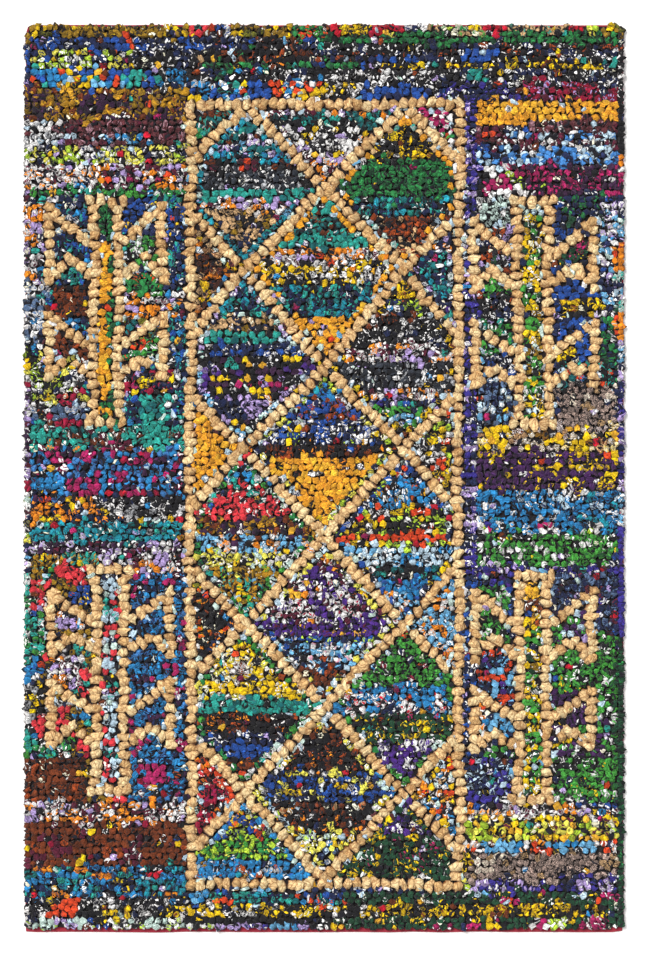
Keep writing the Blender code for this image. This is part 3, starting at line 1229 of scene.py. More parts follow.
    def lay_strip(self, x: float, y: float, heading: float, rag: str) -> None:
        """Lay one thin strip over the loops.

        Args:
            x: Place across the rug.
            y: Place along the rug.
            heading: The angle that it lies at.
            rag: The rag that it is torn from.
        """
        if not self.inside(x, y, Girth.STRIP.value.along / 2):
            return
        cloth = self.chart.rags[rag].pick(self.chance)
        share = self.strip_flecks if cloth.printed else 0.0
        place = (x, y, heading)
        look = Print.FLECK
        hand = self.strip_hand
        self.add_loop("stray_strips", place, Girth.STRIP, hand, cloth, share, look, rise=self.strip_rise)

    def along(self, line: list[Point], pitch: float) -> Iterator[tuple[float, float, float]]:
        """Walk a line in even steps.

        Args:
            line: The line's points.
            pitch: The wanted step.

        Yields:
            Each step's place and heading.
        """
        lengths = [math.dist(start, end) for start, end in zip(line, line[1:])]
        total = sum(lengths)
        steps = max(1, round(total / pitch))
        for step in range(steps + 1):
            walked = total * step / steps
            for (start, end), length in zip(zip(line, line[1:]), lengths):
                if walked <= length + 1e-9:
                    break
                walked -= length
            share = min(walked / length, 1.0)
            heading = math.atan2(end[1] - start[1], end[0] - start[0])
            yield start[0] + (end[0] - start[0]) * share, start[1] + (end[1] - start[1]) * share, heading

    def sway(self, x: float, y: float) -> Point:
        """Shift a place on an ecru line a little, because the hand strays slowly from the marked line."""
        shift = drift(x / self.ecru_sway_size, y / self.ecru_sway_size, self.ecru_sway_slice)
        return x + self.ecru_sway * shift.x, y + self.ecru_sway * shift.y

    def loop_ecru_line(self, group: str, line: list[Point]) -> None:
        """Loop one ecru line, leaving out the places that a crossing line already fills."""
        chance = self.chance
        for x, y, heading in self.along(line, self.ecru_pitch):
            x, y = self.sway(x, y)
            x += chance.uniform(-1, 1) * self.ecru_drift
            y += chance.uniform(-1, 1) * self.ecru_drift
            others = [math.hypot(x - loop.x, y - loop.y) for loop in self.groups.get(group, [])]
            if min(others, default=1.0) > self.ecru_pitch * self.crossing_room:
                self.plant_ecru(group, x, y, heading)

    def loop_contours(self, line: list[Point]) -> None:
        """Loop the row of rags on each side of an ecru line."""
        chance = self.chance
        for side in (-1, 1):
            for x, y, heading in self.along(line, self.rag_pitch):
                x, y = self.sway(x, y)
                stray = chance.uniform(-self.contour_drift, self.contour_drift)
                shift = side * (self.contour_offset + stray)
                x -= shift * math.sin(heading)
                y += shift * math.cos(heading)
                if not self.chart.lattice.holds(x, y) or not self.ground.clear(x, y, self.rag_radius):
                    continue
                rag = self.chart.contour_at(x, y)
                draw = chance.random()
                if draw < self.contour_pale_share:
                    rag = self.chart.rags[chance.choice(self.contour_pales)]
                elif draw < self.contour_stripe_share:
                    rag = self.chart.rag_at(x, y)
                self.plant("contour_loops", x, y, heading, rag, self.contour_size)

    def loop_edges(self) -> None:
        """Loop the outermost column on the left and on the right, and the indigo column by the frame."""
        for side in (-1, 1):
            inset = self.rag_radius - (self.left_overhang if side < 0 else self.right_overhang)
            x = (self.left + inset) if side < 0 else (self.right - inset)
            for place_x, y, heading in self.along([(x, self.top), (x, self.bottom)], self.edge_pitch):
                if self.inside(place_x, y, inset * self.edge_margin):
                    place_x += self.chance.uniform(-1, 1) * self.edge_drift
                    self.plant("edge_loops", place_x, y, heading, self.chart.edge_at(side, y))
        for shift in (0.0, self.indigo_pitch):
            line = [(self.indigo_x + shift, end) for end in self.indigo_reach]
            for x, y, heading in self.along(line, self.rag_pitch):
                if self.ground.clear(x, y, self.rag_radius):
                    self.plant("edge_loops", x, y, heading, self.chart.band_at(self.indigo_band_x, y))

    def loop_rows(self) -> None:
        """Loop the rows that fill all the rest, from the top edge down."""
        chance = self.chance
        inset = self.rag_radius + self.row_inset
        rows = round((self.top - self.bottom - 2 * inset) / self.row_pitch)
        for row in range(rows + 1):
            level = self.top - inset - (self.top - self.bottom - 2 * inset) * row / rows
            x = self.left + inset + chance.uniform(0, self.rag_pitch)
            while x < self.right - inset:
                spot = (x / self.row_wave_size, level / self.row_wave_size, self.row_wave_slice)
                wave = self.row_wave * noise.noise(spot)
                if row in (0, rows):
                    y = level + chance.uniform(0.0, self.edge_row_drift)
                else:
                    y = level + (wave + chance.uniform(-self.row_drift, self.row_drift))
                rag = self.rag_near(x, y)
                step = self.rag_pitch * chance.uniform(*self.row_steps)
                step *= self.big_size if rag.big else 1.0
                if self.inside(x, y, inset * self.row_margin) and self.ground.clear(x, y, self.rag_radius):
                    self.plant(f"row_loops_{row % self.row_pieces + 1}", x, y, 0.0, rag)
                    x += step
                else:
                    x += step / self.search_steps

    def fill_gaps(self) -> None:
        """Push a small loop into each gap that the rows left."""
        chance = self.chance
        for size in self.filling_sizes:
            radius = self.rag_radius * size
            places = [
                (x, y)
                for x in np.arange(self.left + radius, self.right - radius, self.filling_pitch)
                for y in np.arange(self.bottom + radius, self.top - radius, self.filling_pitch)
            ]
            chance.shuffle(places)
            for x, y in places:
                if self.inside(x, y, radius) and self.ground.clear(x, y, radius):
                    rag = self.chart.rag_at(x, y)
                    self.plant("filling_loops", x, y, chance.uniform(0, math.pi), rag, size)

    def lay_strips(self) -> None:
        """Lay thin strips over the loops here and there, pale ones and ones of the rags round them."""
        chance = self.chance
        for _ in range(self.strips):
            x = chance.uniform(self.left, self.right)
            y = chance.uniform(self.bottom, self.top)
            rag = chance.choice([*self.pale_rags, self.chart.rag_at(x, y).name])
            self.lay_strip(x, y, chance.uniform(0, math.pi), rag)

    def run(self) -> dict[str, list[Loop]]:
        """Place every loop.

        Returns:
            The loops of each piece.
        """
        lattice = self.chart.lattice
        for line in lattice.frame_lines() + lattice.diagonals():
            self.loop_ecru_line("lattice_loops", line)
        for figure in FIGURES.values():
            for line in figure.lines():
                self.loop_ecru_line("figure_loops", line)
        for line in lattice.diagonals() + lattice.frame_lines():
            self.loop_contours(line)
        self.loop_edges()
        self.loop_rows()
        self.fill_gaps()
        self.lay_strips()
        return self.groups


@dataclass(frozen=True)
class LoopForm:
    """The mesh of one crumpled loop, with its place on the colour map."""

    coords: np.ndarray
    faces: tuple[tuple[int, ...], ...]
    places: np.ndarray


@dataclass(frozen=True)
class LoopMaker:
    """Shapes loops from a strip: a flat ring spun into an arch, pleated, twisted and crumpled."""

    forms: int = 14
    crumple_size: float = 0.006
    taper: float = 0.35
    skew: float = 0.30
    map_margin: float = 0.07
    foot_room: float = 0.12
    foot_floor: float = 0.0028
    foot_spread: float = 0.0004
    foot_angle: float = 0.05
    foot_squeeze: float = 0.82
    pleats: int = 3
    form_shift: float = 9.0
    seam_room: float = 0.01
    unevenness: float = 0.25

    def shape(self, size: LoopSize, seed: int) -> LoopForm:
        """Shape one loop over the origin, with its arch along X and its feet below.

        Args:
            size: The loop's size.
            seed: Which of the crumpled forms it is.

        Returns:
            The form.
        """
        chance = random.Random(seed)
        half_strip = size.strip / 2
        radius = size.along / 2 - half_strip
        bm = bmesh.new()
        bmesh.ops.create_circle(bm, segments=size.sides, radius=1.0)
        turn = Matrix.Rotation(math.pi / 2, 3, "Z")
        bmesh.ops.rotate(bm, cent=(0, 0, 0), matrix=turn, verts=bm.verts)
        bmesh.ops.scale(bm, vec=(half_strip, size.across / 2, 1.0), verts=bm.verts)
        bmesh.ops.translate(bm, vec=(radius, 0.0, 0.0), verts=bm.verts)
        bmesh.ops.spin(
            bm, geom=bm.verts[:] + bm.edges[:], cent=(0, 0, 0), axis=(0, 1, 0), dvec=(0, 0, 0),
            angle=-math.pi, steps=size.steps, use_merge=False, use_normal_flip=False, use_duplicate=False,
        )
        bmesh.ops.holes_fill(bm, edges=[edge for edge in bm.edges if edge.is_boundary], sides=size.sides)
        bmesh.ops.recalc_face_normals(bm, faces=bm.faces)
        bm.verts.index_update()

        round_strip = []
        up_arch = []
        phase = chance.uniform(0, 2 * math.pi)
        taper = chance.uniform(-self.taper, self.taper)
        skew = chance.uniform(-self.skew, self.skew)
        shift = Vector([chance.uniform(0, self.form_shift) for _ in range(3)])
        for vert in bm.verts:
            arch = math.atan2(vert.co.z, vert.co.x)
            out = math.hypot(vert.co.x, vert.co.z) - radius
            around = math.atan2(vert.co.y / (size.across / 2), out / half_strip)
            first_foot = arch < self.foot_angle
            foot = first_foot or arch > math.pi - self.foot_angle
            round_strip.append(around)
            if foot:
                up_arch.append(0.0 if first_foot else 1.0)
            else:
                up_arch.append(self.foot_room + (1 - 2 * self.foot_room) * arch / math.pi)
            fold = 1 + size.pleat * math.cos(size.sides / 2 * around + phase)
            turned = around + size.twist * (arch - math.pi / 2)
            fold *= 1 - 0.5 * size.pleat * (1 + math.cos(self.pleats * turned + phase))
            power = size.boxiness
            box = (abs(math.cos(arch)) ** power + abs(math.sin(arch)) ** power) ** (-1 / power)
            reach = (radius + out * fold) * box
            side = vert.co.y * fold * (1 + taper * math.cos(arch))
            vert.co = Vector((math.cos(arch) * reach + skew * side, side, math.sin(arch) * reach))
            if foot:
                vert.co.z -= size.leg
                vert.co.x *= self.foot_squeeze
                vert.co.y *= self.foot_squeeze
            vert.co += size.crumple * drift(*(vert.co / self.crumple_size + shift))

        faces = tuple(tuple(vert.index for vert in face.verts) for face in bm.faces)
        places = []
        for face in faces:
            angles = [round_strip[index] for index in face]
            if max(angles) - min(angles) > math.pi:
                angles = [angle if angle > 0 else angle + 2 * math.pi for angle in angles]
            if len(face) == 4 and max(angles) > math.pi + self.seam_room:
                angles = [angle - 2 * math.pi for angle in angles]
            places += [(0.5 + angle / (2 * math.pi), up_arch[index]) for angle, index in zip(angles, face)]
        coords = np.array([tuple(vert.co) for vert in bm.verts])
        bm.free()
        return LoopForm(coords, faces, np.clip(np.array(places), 0.0, 1.0))

    def join(self, name: str, loops: list[Loop], top: float, cells: int) -> bpy.types.Object:
        """Join the loops of one piece into a mesh with its colours and colour map.

        Args:
            name: The piece's name.
            loops: Its loops.
            top: How high a plain loop's top stands.
            cells: Loops in each row of the colour map.

        Returns:
            The piece's object.
        """
        forms = {girth: [self.shape(girth.value, seed) for seed in range(self.forms)] for girth in Girth}
        dice = np.random.default_rng(len(loops))
        coords, faces, places, tones, flecks, looks = [], [], [], [], [], []
        reached = 0
        for index, loop in enumerate(loops):
            size = loop.girth.value
            form = forms[loop.girth][int(dice.integers(self.forms))]
            shape = form.coords * (loop.along, loop.across, 1.0)
            shape[:, 0] *= 1 if dice.random() > 0.5 else -1
            shape += dice.normal(0.0, size.crumple * self.unevenness, shape.shape)
            turn = Matrix.Rotation(loop.heading, 3, "Z") @ Matrix.Rotation(loop.lean[0], 3, "X")
            turn = np.array(turn @ Matrix.Rotation(loop.lean[1], 3, "Y"))
            shape = shape @ turn.T
            shape += (loop.x, loop.y, top + loop.lift - size.along / 2)
            floor = self.foot_floor + self.foot_spread * dice.random(len(shape))
            shape[:, 2] = np.maximum(shape[:, 2], floor)
            coords.append(shape)
            faces += [tuple(corner + reached for corner in face) for face in form.faces]
            reached += len(shape)
            cell = np.array((index % cells, index // cells))
            places.append((cell + self.map_margin + form.places * (1 - 2 * self.map_margin)) / cells)
            tones.append(np.tile((*loop.base, loop.share), (len(shape), 1)))
            flecks.append(np.tile((*loop.fleck, 1.0), (len(shape), 1)))
            looks.append(np.tile((*loop.look.value, dice.uniform(0.0, 2 * math.pi)), (len(shape), 1)))

        mesh = bpy.data.meshes.new(name)
        mesh.from_pydata(np.concatenate(coords).tolist(), [], faces)
        mesh.polygons.foreach_set("use_smooth", np.ones(len(mesh.polygons), dtype=bool))
        layer = mesh.uv_layers.new(name="OFBake")
        layer.data.foreach_set("uv", np.concatenate(places).ravel())
        for label, values in (("tone", tones), ("fleck", flecks)):
            colours = mesh.attributes.new(label, "FLOAT_COLOR", "POINT")
            colours.data.foreach_set("color", np.concatenate(values).ravel())
        look = mesh.attributes.new("look", "FLOAT_VECTOR", "POINT")
        look.data.foreach_set("vector", np.concatenate(looks).ravel())
        mesh.update()
        self.face_outward(mesh)
        mesh.set_sharp_from_angle(angle=math.radians(loops[0].girth.value.fold_angle))
        item = bpy.data.objects.new(name, mesh)
        bpy.context.scene.collection.objects.link(item)
        return item

    @staticmethod
    def face_outward(mesh: bpy.types.Mesh) -> None:
        """Turn every face out, because a mirrored loop is inside out."""
        bm = bmesh.new()
        bm.from_mesh(mesh)
        bmesh.ops.recalc_face_normals(bm, faces=bm.faces)
        bm.to_mesh(mesh)
        bm.free()


class Graph:
    """A node tree being wired."""

    def __init__(self, tree: bpy.types.NodeTree) -> None:
        """Keep the tree."""
        self.tree = tree

    def add(
        self, kind: str, inputs: dict[str | int, object] | None = None, **settings: object,
    ) -> bpy.types.Node:
        """Add a node, set it and feed it.

        Args:
            kind: The node's type, without its ShaderNode prefix.
            inputs: Its inputs by name or number, each a number, a colour or another node's output.
            settings: Its own settings.

        Returns:
            The node.
        """
        prefix = "" if kind.startswith("NodeGroup") else "ShaderNode"
        node = self.tree.nodes.new(prefix + kind)
        for name, value in settings.items():
            setattr(node, name, value)
        for socket, value in (inputs or {}).items():
            if isinstance(value, bpy.types.NodeSocket):
                self.tree.links.new(value, node.inputs[socket])
            else:
                node.inputs[socket].default_value = value
        return node

    def math(self, operation: str, *values: object) -> bpy.types.NodeSocket:
        """Add a Math node and return its output."""
        return self.add("Math", dict(enumerate(values)), operation=operation).outputs[0]

    def vector(self, operation: str, *values: object) -> bpy.types.NodeSocket:
        """Add a Vector Math node and return its output."""
        return self.add("VectorMath", dict(enumerate(values)), operation=operation).outputs[0]

    def noise(self, place: object, scale: object, detail: float) -> bpy.types.NodeSocket:
        """Add a noise texture and return its value."""
        return self.add("TexNoise", {"Vector": place, "Scale": scale, "Detail": detail}).outputs[0]

    def scaled(self, value: object, factor: object) -> bpy.types.NodeSocket:
        """Scale a vector by a number or another node's output, and return the result."""
        return self.add("VectorMath", {0: value, "Scale": factor}, operation="SCALE").outputs[0]

    def smooth_step(self, value: object, low: object, high: object) -> bpy.types.NodeSocket:
        """Return how far a value is from low to high, from 0 to 1 and eased at both ends."""
        inputs = {0: value, 1: low, 2: high, 3: 0.0, 4: 1.0}
        return self.add("MapRange", inputs, interpolation_type="SMOOTHSTEP").outputs[0]

    def mix(self, share: object, first: object, second: object, blend: str = "MIX") -> bpy.types.NodeSocket:
        """Add a colour mix and return its output."""
        inputs = {0: share, 6: first, 7: second}
        return self.add("Mix", inputs, data_type="RGBA", blend_type=blend).outputs[2]


def new_group(name: str, inputs: dict[str, float], outputs: tuple[str, ...]) -> tuple[Graph, dict, dict]:
    """Start a node group that takes a place and numbers, and puts out masks or heights.

    Args:
        name: The group's name.
        inputs: Its number inputs and their values.
        outputs: Its outputs.

    Returns:
        The group's graph, its inputs as sockets by name, and its output sockets by name.
    """
    tree = bpy.data.node_groups.new(name, "ShaderNodeTree")
    tree.interface.new_socket("Place", in_out="INPUT", socket_type="NodeSocketVector")
    for label, value in inputs.items():
        socket = tree.interface.new_socket(label, in_out="INPUT", socket_type="NodeSocketFloat")
        socket.default_value = value
    for label in outputs:
        tree.interface.new_socket(label, in_out="OUTPUT", socket_type="NodeSocketFloat")
    graph = Graph(tree)
    entry = graph.add("NodeGroupInput")
    end = graph.add("NodeGroupOutput")
    sources = {socket.name: socket for socket in entry.outputs if socket.name}
    targets = {socket.name: socket for socket in end.inputs if socket.name}
    return graph, sources, targets


@dataclass(frozen=True)
class RagPrint:
    """A crumpled printed rag: slivers between thin folds, some of them in the second dye, and a mask for
    painted shade along the folds.
    """

    warp_scale: float = 110.0
    warp: float = 0.008
    sliver_form: tuple[float, float, float] = (1.0, 0.40, 0.7)
    rounding: float = 0.4
    patch_inset: float = 0.10
    swirl_scale: float = 75.0
    swirl_detail: float = 0.5
    swirls: float = 16.0
    swirl_gap: float = 0.58
    least_share: float = 0.01
    ink_above: float = 0.86
    plain_fold: float = 0.55

    def build(self) -> bpy.types.NodeTree:
        """Wire the node group.

        Returns:
            The group.
        """
        graph, source, target = new_group(
            "rag_print",
            {"Slivers per metre": 200.0, "Share": 0.3, "Curl": 0.0, "Turn": 0.0, "Fold width": 0.12},
            ("Mask", "Ink", "Facet", "Fold", "Height"))
        turned = graph.add("VectorRotate", {"Vector": source["Place"], "Angle": source["Turn"]},
                           rotation_type="Z_AXIS").outputs[0]
        wobble = graph.add("TexNoise", {"Vector": turned, "Scale": self.warp_scale, "Detail": 1.0})
        centred = graph.vector("SUBTRACT", wobble.outputs["Color"], (0.5, 0.5, 0.5))
        shift = graph.scaled(centred, self.warp)
        place = graph.vector("ADD", turned, shift)
        sized = graph.scaled(graph.vector("MULTIPLY", place, self.sliver_form), source["Slivers per metre"])
        edges = graph.add("TexVoronoi", {"Vector": sized, "Scale": 1.0}, feature="DISTANCE_TO_EDGE")
        cells = graph.add("TexVoronoi", {"Vector": sized, "Scale": 1.0})
        dice = graph.add("SeparateColor", {0: cells.outputs["Color"]})
        distance = edges.outputs["Distance"]
        fold = graph.smooth_step(distance, 0.0, source["Fold width"])
        height = graph.smooth_step(distance, 0.0, self.rounding)

        inner = graph.math("GREATER_THAN", distance, self.patch_inset)
        patch = graph.math("MULTIPLY", graph.math("LESS_THAN", dice.outputs[0], source["Share"]), inner)
        swirl = graph.noise(place, self.swirl_scale, self.swirl_detail)
        rings = graph.math("FRACT", graph.math("MULTIPLY", swirl, self.swirls))
        stripe = graph.math("GREATER_THAN", rings, self.swirl_gap)
        printed = graph.math("GREATER_THAN", source["Share"], self.least_share)
        curled = graph.math("MULTIPLY", stripe, printed)
        turn = graph.math("MULTIPLY", graph.math("SUBTRACT", curled, patch), source["Curl"])
        inked = graph.math("GREATER_THAN", dice.outputs[2], self.ink_above)
        # On plain cloth the painted fold shade is weaker: the fold mask stays above plain_fold.
        clean = graph.add("MapRange", {0: printed, 1: 0.0, 2: 1.0, 3: self.plain_fold, 4: 0.0}).outputs[0]
        graph.tree.links.new(graph.math("ADD", patch, turn), target["Mask"])
        graph.tree.links.new(graph.math("MULTIPLY", inked, printed), target["Ink"])
        graph.tree.links.new(dice.outputs[1], target["Facet"])
        graph.tree.links.new(graph.math("MAXIMUM", fold, clean), target["Fold"])
        graph.tree.links.new(height, target["Height"])
        return graph.tree


@dataclass(frozen=True)
class StripCreases:
    """The creases of a looped strip: they run up its arch, and shade its folds."""

    stretch: tuple[float, float, float] = (9.0, 2.2, 1.0)
    rough: float = 0.55
    groove_width: float = 0.12
    groove_depth: float = 0.5

    def build(self) -> bpy.types.NodeTree:
        """Wire the node group.

        Returns:
            The group.
        """
        graph, source, target = new_group("strip_creases", {"Loops in a row": 45.0}, ("Height", "Shade"))
        whole = graph.scaled(source["Place"], source["Loops in a row"])
        lean = graph.vector("MULTIPLY", whole, self.stretch)
        inputs = {"Vector": lean, "Scale": 1.0, "Detail": 2.0, "Roughness": self.rough}
        folds = graph.add("TexNoise", inputs).outputs[0]
        ridge = graph.math("ABSOLUTE", graph.math("SUBTRACT", folds, 0.5))
        crease = graph.smooth_step(ridge, 0.0, self.groove_width)
        height = graph.math("ADD", graph.math("MULTIPLY", crease, self.groove_depth), folds)
        graph.tree.links.new(height, target["Height"])
        graph.tree.links.new(crease, target["Shade"])
        return graph.tree


@dataclass(frozen=True)
class CottonGrain:
    """The fine grain of cotton cloth, finer than a millimetre."""

    threads: float = 1400.0

    def build(self) -> bpy.types.NodeTree:
        """Wire the node group.

        Returns:
            The group.
        """
        graph, source, target = new_group("cotton_grain", {"Threads per metre": self.threads}, ("Height",))
        fine = graph.noise(source["Place"], source["Threads per metre"], 1.0)
        graph.tree.links.new(fine, target["Height"])
        return graph.tree


@dataclass(frozen=True)
class Finish:
    """What all finishes share: a matte cotton shader with its roughness and sheen."""

    name: str
    roughness: float = 0.93
    sheen: float = 0.12
    specular: float = 0.25

    def start(self) -> tuple[Graph, bpy.types.Material, bpy.types.Node]:
        """Make the material.

        Returns:
            Its graph, the material, and its shader.
        """
        material = bpy.data.materials.new(self.name)
        material.use_nodes = True
        shader = material.node_tree.nodes["Principled BSDF"]
        shader.inputs["Roughness"].default_value = self.roughness
        shader.inputs["Sheen Weight"].default_value = self.sheen
        shader.inputs["Specular IOR Level"].default_value = self.specular
        return Graph(material.node_tree), material, shader


@dataclass(frozen=True)
class RagCotton(Finish):
    """Printed and plain cotton rags, creased lengthwise, their colour carrying painted shade and painted
    facet light.
    """

    loops_in_row: float = 45.0
    crease_shade: float = 0.30
    crease_depth: float = 0.0007
    facet_spread: float = 0.7
    fold_shade: float = 0.78
    fold_width: float = 0.12
    fold_depth: float = 0.0012
    ink: str = "1B1A24"
    shadow_tint: Colour = (0.05, 0.045, 0.05)
    dark_below: float = 0.0080
    bright_above: float = 0.0125
    grain_depth: float = 0.00012

    def build(self, groups: dict[str, bpy.types.NodeTree]) -> bpy.types.Material:
        """Wire the finish.

        Args:
            groups: The shared node groups.

        Returns:
            The material.
        """
        graph, material, shader = self.start()
        place = graph.add("TexCoord").outputs["Object"]
        strip = graph.add("UVMap", uv_map="OFBake").outputs[0]
        tone = graph.add("Attribute", attribute_name="tone")
        fleck = graph.add("Attribute", attribute_name="fleck")
        look = graph.add("Attribute", attribute_name="look")
        parts = graph.add("SeparateXYZ", {0: look.outputs["Vector"]})
        pattern = graph.add("Group", node_tree=groups["print"])
        pattern.inputs["Fold width"].default_value = self.fold_width
        graph.tree.links.new(place, pattern.inputs["Place"])
        graph.tree.links.new(parts.outputs[0], pattern.inputs["Slivers per metre"])
        graph.tree.links.new(parts.outputs[1], pattern.inputs["Curl"])
        graph.tree.links.new(parts.outputs[2], pattern.inputs["Turn"])
        graph.tree.links.new(tone.outputs["Alpha"], pattern.inputs["Share"])
        creases = graph.add("Group", node_tree=groups["crease"])
        creases.inputs["Loops in a row"].default_value = self.loops_in_row
        graph.tree.links.new(strip, creases.inputs["Place"])
        grain = graph.add("Group", node_tree=groups["grain"])
        graph.tree.links.new(place, grain.inputs["Place"])

        cloth = graph.mix(pattern.outputs["Mask"], tone.outputs["Color"], fleck.outputs["Color"])
        cloth = graph.mix(pattern.outputs["Ink"], cloth, (*linear(self.ink), 1.0))
        # Painted shade in the creases that run up each strip.
        groove = graph.math("SUBTRACT", 1.0, creases.outputs["Shade"])
        crease = graph.math("MULTIPLY", groove, self.crease_shade)
        # Painted shade along the folds between the slivers.
        fold = graph.math("MULTIPLY", graph.math("SUBTRACT", 1.0, pattern.outputs["Fold"]), self.fold_shade)
        # Painted shade: the colour darkens towards shadow_tint from bright_above down to dark_below, where
        # shade falls between the loops.
        height = graph.add("SeparateXYZ", {0: place}).outputs[2]
        depth = graph.smooth_step(height, self.dark_below, self.bright_above)
        # Painted light and shade: each sliver is made lighter or darker by a random amount, as if its facet
        # caught the light.
        tilt = graph.math("SUBTRACT", pattern.outputs["Facet"], 0.5)
        facet = graph.math("MULTIPLY", tilt, self.facet_spread)
        light = graph.math("MULTIPLY", graph.math("SUBTRACT", 1.0, crease), graph.math("ADD", facet, 1.0))
        bright = graph.add("CombineColor", {0: light, 1: light, 2: light}).outputs[0]
        lit = graph.math("MULTIPLY", graph.math("SUBTRACT", 1.0, fold), depth)
        shadow = graph.mix(lit, (*self.shadow_tint, 1.0), bright)
        graph.tree.links.new(graph.mix(1.0, cloth, shadow, "MULTIPLY"), shader.inputs["Base Color"])
        folds = graph.add("Bump", {"Height": pattern.outputs["Height"], "Distance": self.fold_depth})
        coarse = graph.add("Bump", {
            "Height": creases.outputs["Height"], "Distance": self.crease_depth, "Normal": folds.outputs[0]})
        fine = graph.add("Bump", {
            "Height": grain.outputs["Height"], "Distance": self.grain_depth, "Normal": coarse.outputs[0]})
        graph.tree.links.new(fine.outputs[0], shader.inputs["Normal"])
        return material


@dataclass(frozen=True)
class PlainCotton(Finish):
    """One dyed cotton cloth in plain weave, a little uneven in colour."""

    colour: str = "B8384A"
    worn: str = "98283A"
    blotch_scale: float = 38.0
    weave_pitch: float = 0.0011
    weave_depth: float = 0.0002
    weave_shade: float = 0.35

    def build(self, groups: dict[str, bpy.types.NodeTree]) -> bpy.types.Material:
        """Wire the finish.

        Args:
            groups: The shared node groups.

        Returns:
            The material.
        """
        graph, material, shader = self.start()
        place = graph.add("TexCoord").outputs["Object"]
        blotch = graph.noise(place, self.blotch_scale, 3.0)
        colour = graph.mix(blotch, (*linear(self.colour), 1.0), (*linear(self.worn), 1.0))
        axes = graph.add("SeparateXYZ", {0: graph.scaled(place, math.pi / self.weave_pitch)})
        warp = graph.math("ABSOLUTE", graph.math("SINE", axes.outputs[0]))
        weft = graph.math("ABSOLUTE", graph.math("SINE", axes.outputs[1]))
        weave = graph.math("MULTIPLY", warp, weft)
        # Painted shade between the threads of the weave, darkening the colour towards black.
        between = graph.math("MULTIPLY", graph.math("SUBTRACT", 1.0, weave), self.weave_shade)
        thread = graph.mix(between, colour, (0, 0, 0, 1))
        graph.tree.links.new(thread, shader.inputs["Base Color"])
        grain = graph.add("Group", node_tree=groups["grain"])
        graph.tree.links.new(place, grain.inputs["Place"])
        coarse = graph.add("Bump", {"Height": weave, "Distance": self.weave_depth})
        fine = graph.add("Bump", {
            "Height": grain.outputs["Height"],
            "Distance": self.weave_depth / 2,
            "Normal": coarse.outputs[0],
        })
        graph.tree.links.new(fine.outputs[0], shader.inputs["Normal"])
        return material


@dataclass(frozen=True)
class LoopPile:
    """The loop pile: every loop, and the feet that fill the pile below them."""

    plain_top: float = 0.0150
    map_cells: int = 45
    feet_top: float = 0.0066
    feet_lump: float = 0.0008
    feet_slice: float = 1.0
    feet_cell: float = 0.016
    feet_inset: float = 0.0045
    feet_gap: float = 0.0002

    def build_loops(
        self, planting: Planting, rag: bpy.types.Material, ecru: bpy.types.Material,
    ) -> list[bpy.types.Object]:
        """Build each piece of loops.

        Args:
            planting: Where the loops go.
            rag: The material of the rag loops.
            ecru: The material of the ecru loops.

        Returns:
            The pieces.
        """
        maker = LoopMaker()
        pieces = []
        for name, loops in planting.run().items():
            piece = maker.join(name, loops, self.plain_top, self.map_cells)
            piece.data.materials.append(ecru if loops[0].girth is Girth.ECRU else rag)
            log.info("%s: %d loops, %d faces", name, len(loops), len(piece.data.polygons))
            pieces.append(piece)
        return pieces

    def build_feet(self, planting: Planting, finish: bpy.types.Material) -> bpy.types.Object:
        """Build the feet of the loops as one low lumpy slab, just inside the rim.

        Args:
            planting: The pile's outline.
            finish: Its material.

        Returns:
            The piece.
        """
        width = planting.right - planting.left - 2 * self.feet_inset
        length = planting.top - planting.bottom - 2 * self.feet_inset
        middle = ((planting.left + planting.right) / 2, (planting.top + planting.bottom) / 2)
        bm = bmesh.new()
        columns = round(width / self.feet_cell)
        rows = round(length / self.feet_cell)
        bmesh.ops.create_grid(bm, x_segments=columns, y_segments=rows, size=0.5)
        bmesh.ops.scale(bm, vec=(width, length, 1.0), verts=bm.verts)
        bmesh.ops.translate(bm, vec=(middle[0], middle[1], 0.0), verts=bm.verts)
        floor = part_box("backing")[1][2] + self.feet_gap
        for vert in bm.verts:
            spot = (vert.co.x / self.feet_cell, vert.co.y / self.feet_cell, self.feet_slice)
            lump = noise.noise(spot)
            vert.co.z = self.feet_top + self.feet_lump * lump
        rim = [edge for edge in bm.edges if edge.is_boundary]
        wall = bmesh.ops.extrude_edge_only(bm, edges=rim)
        for vert in [part for part in wall["geom"] if isinstance(part, bmesh.types.BMVert)]:
            vert.co.z = floor
        bmesh.ops.holes_fill(bm, edges=[edge for edge in bm.edges if edge.is_boundary])
        bmesh.ops.recalc_face_normals(bm, faces=bm.faces)
        # The slab stands for the loops' feet, and its dark finish is painted shade deep in the pile.
        return make_object("pile_feet", bm, finish)


def make_object(name: str, bm: bmesh.types.BMesh, finish: bpy.types.Material) -> bpy.types.Object:
    """Turn a bmesh into a smooth-shaded object at the origin.

    Args:
        name: The object's name.
        bm: The shape, which is freed.
        finish: Its material.

    Returns:
        The object.
    """
    mesh = bpy.data.meshes.new(name)
    bm.to_mesh(mesh)
    bm.free()
    mesh.shade_smooth()
    mesh.set_sharp_from_angle(angle=math.radians(SMOOTH_ANGLE))
    mesh.materials.append(finish)
    item = bpy.data.objects.new(name, mesh)
    bpy.context.scene.collection.objects.link(item)
    return item


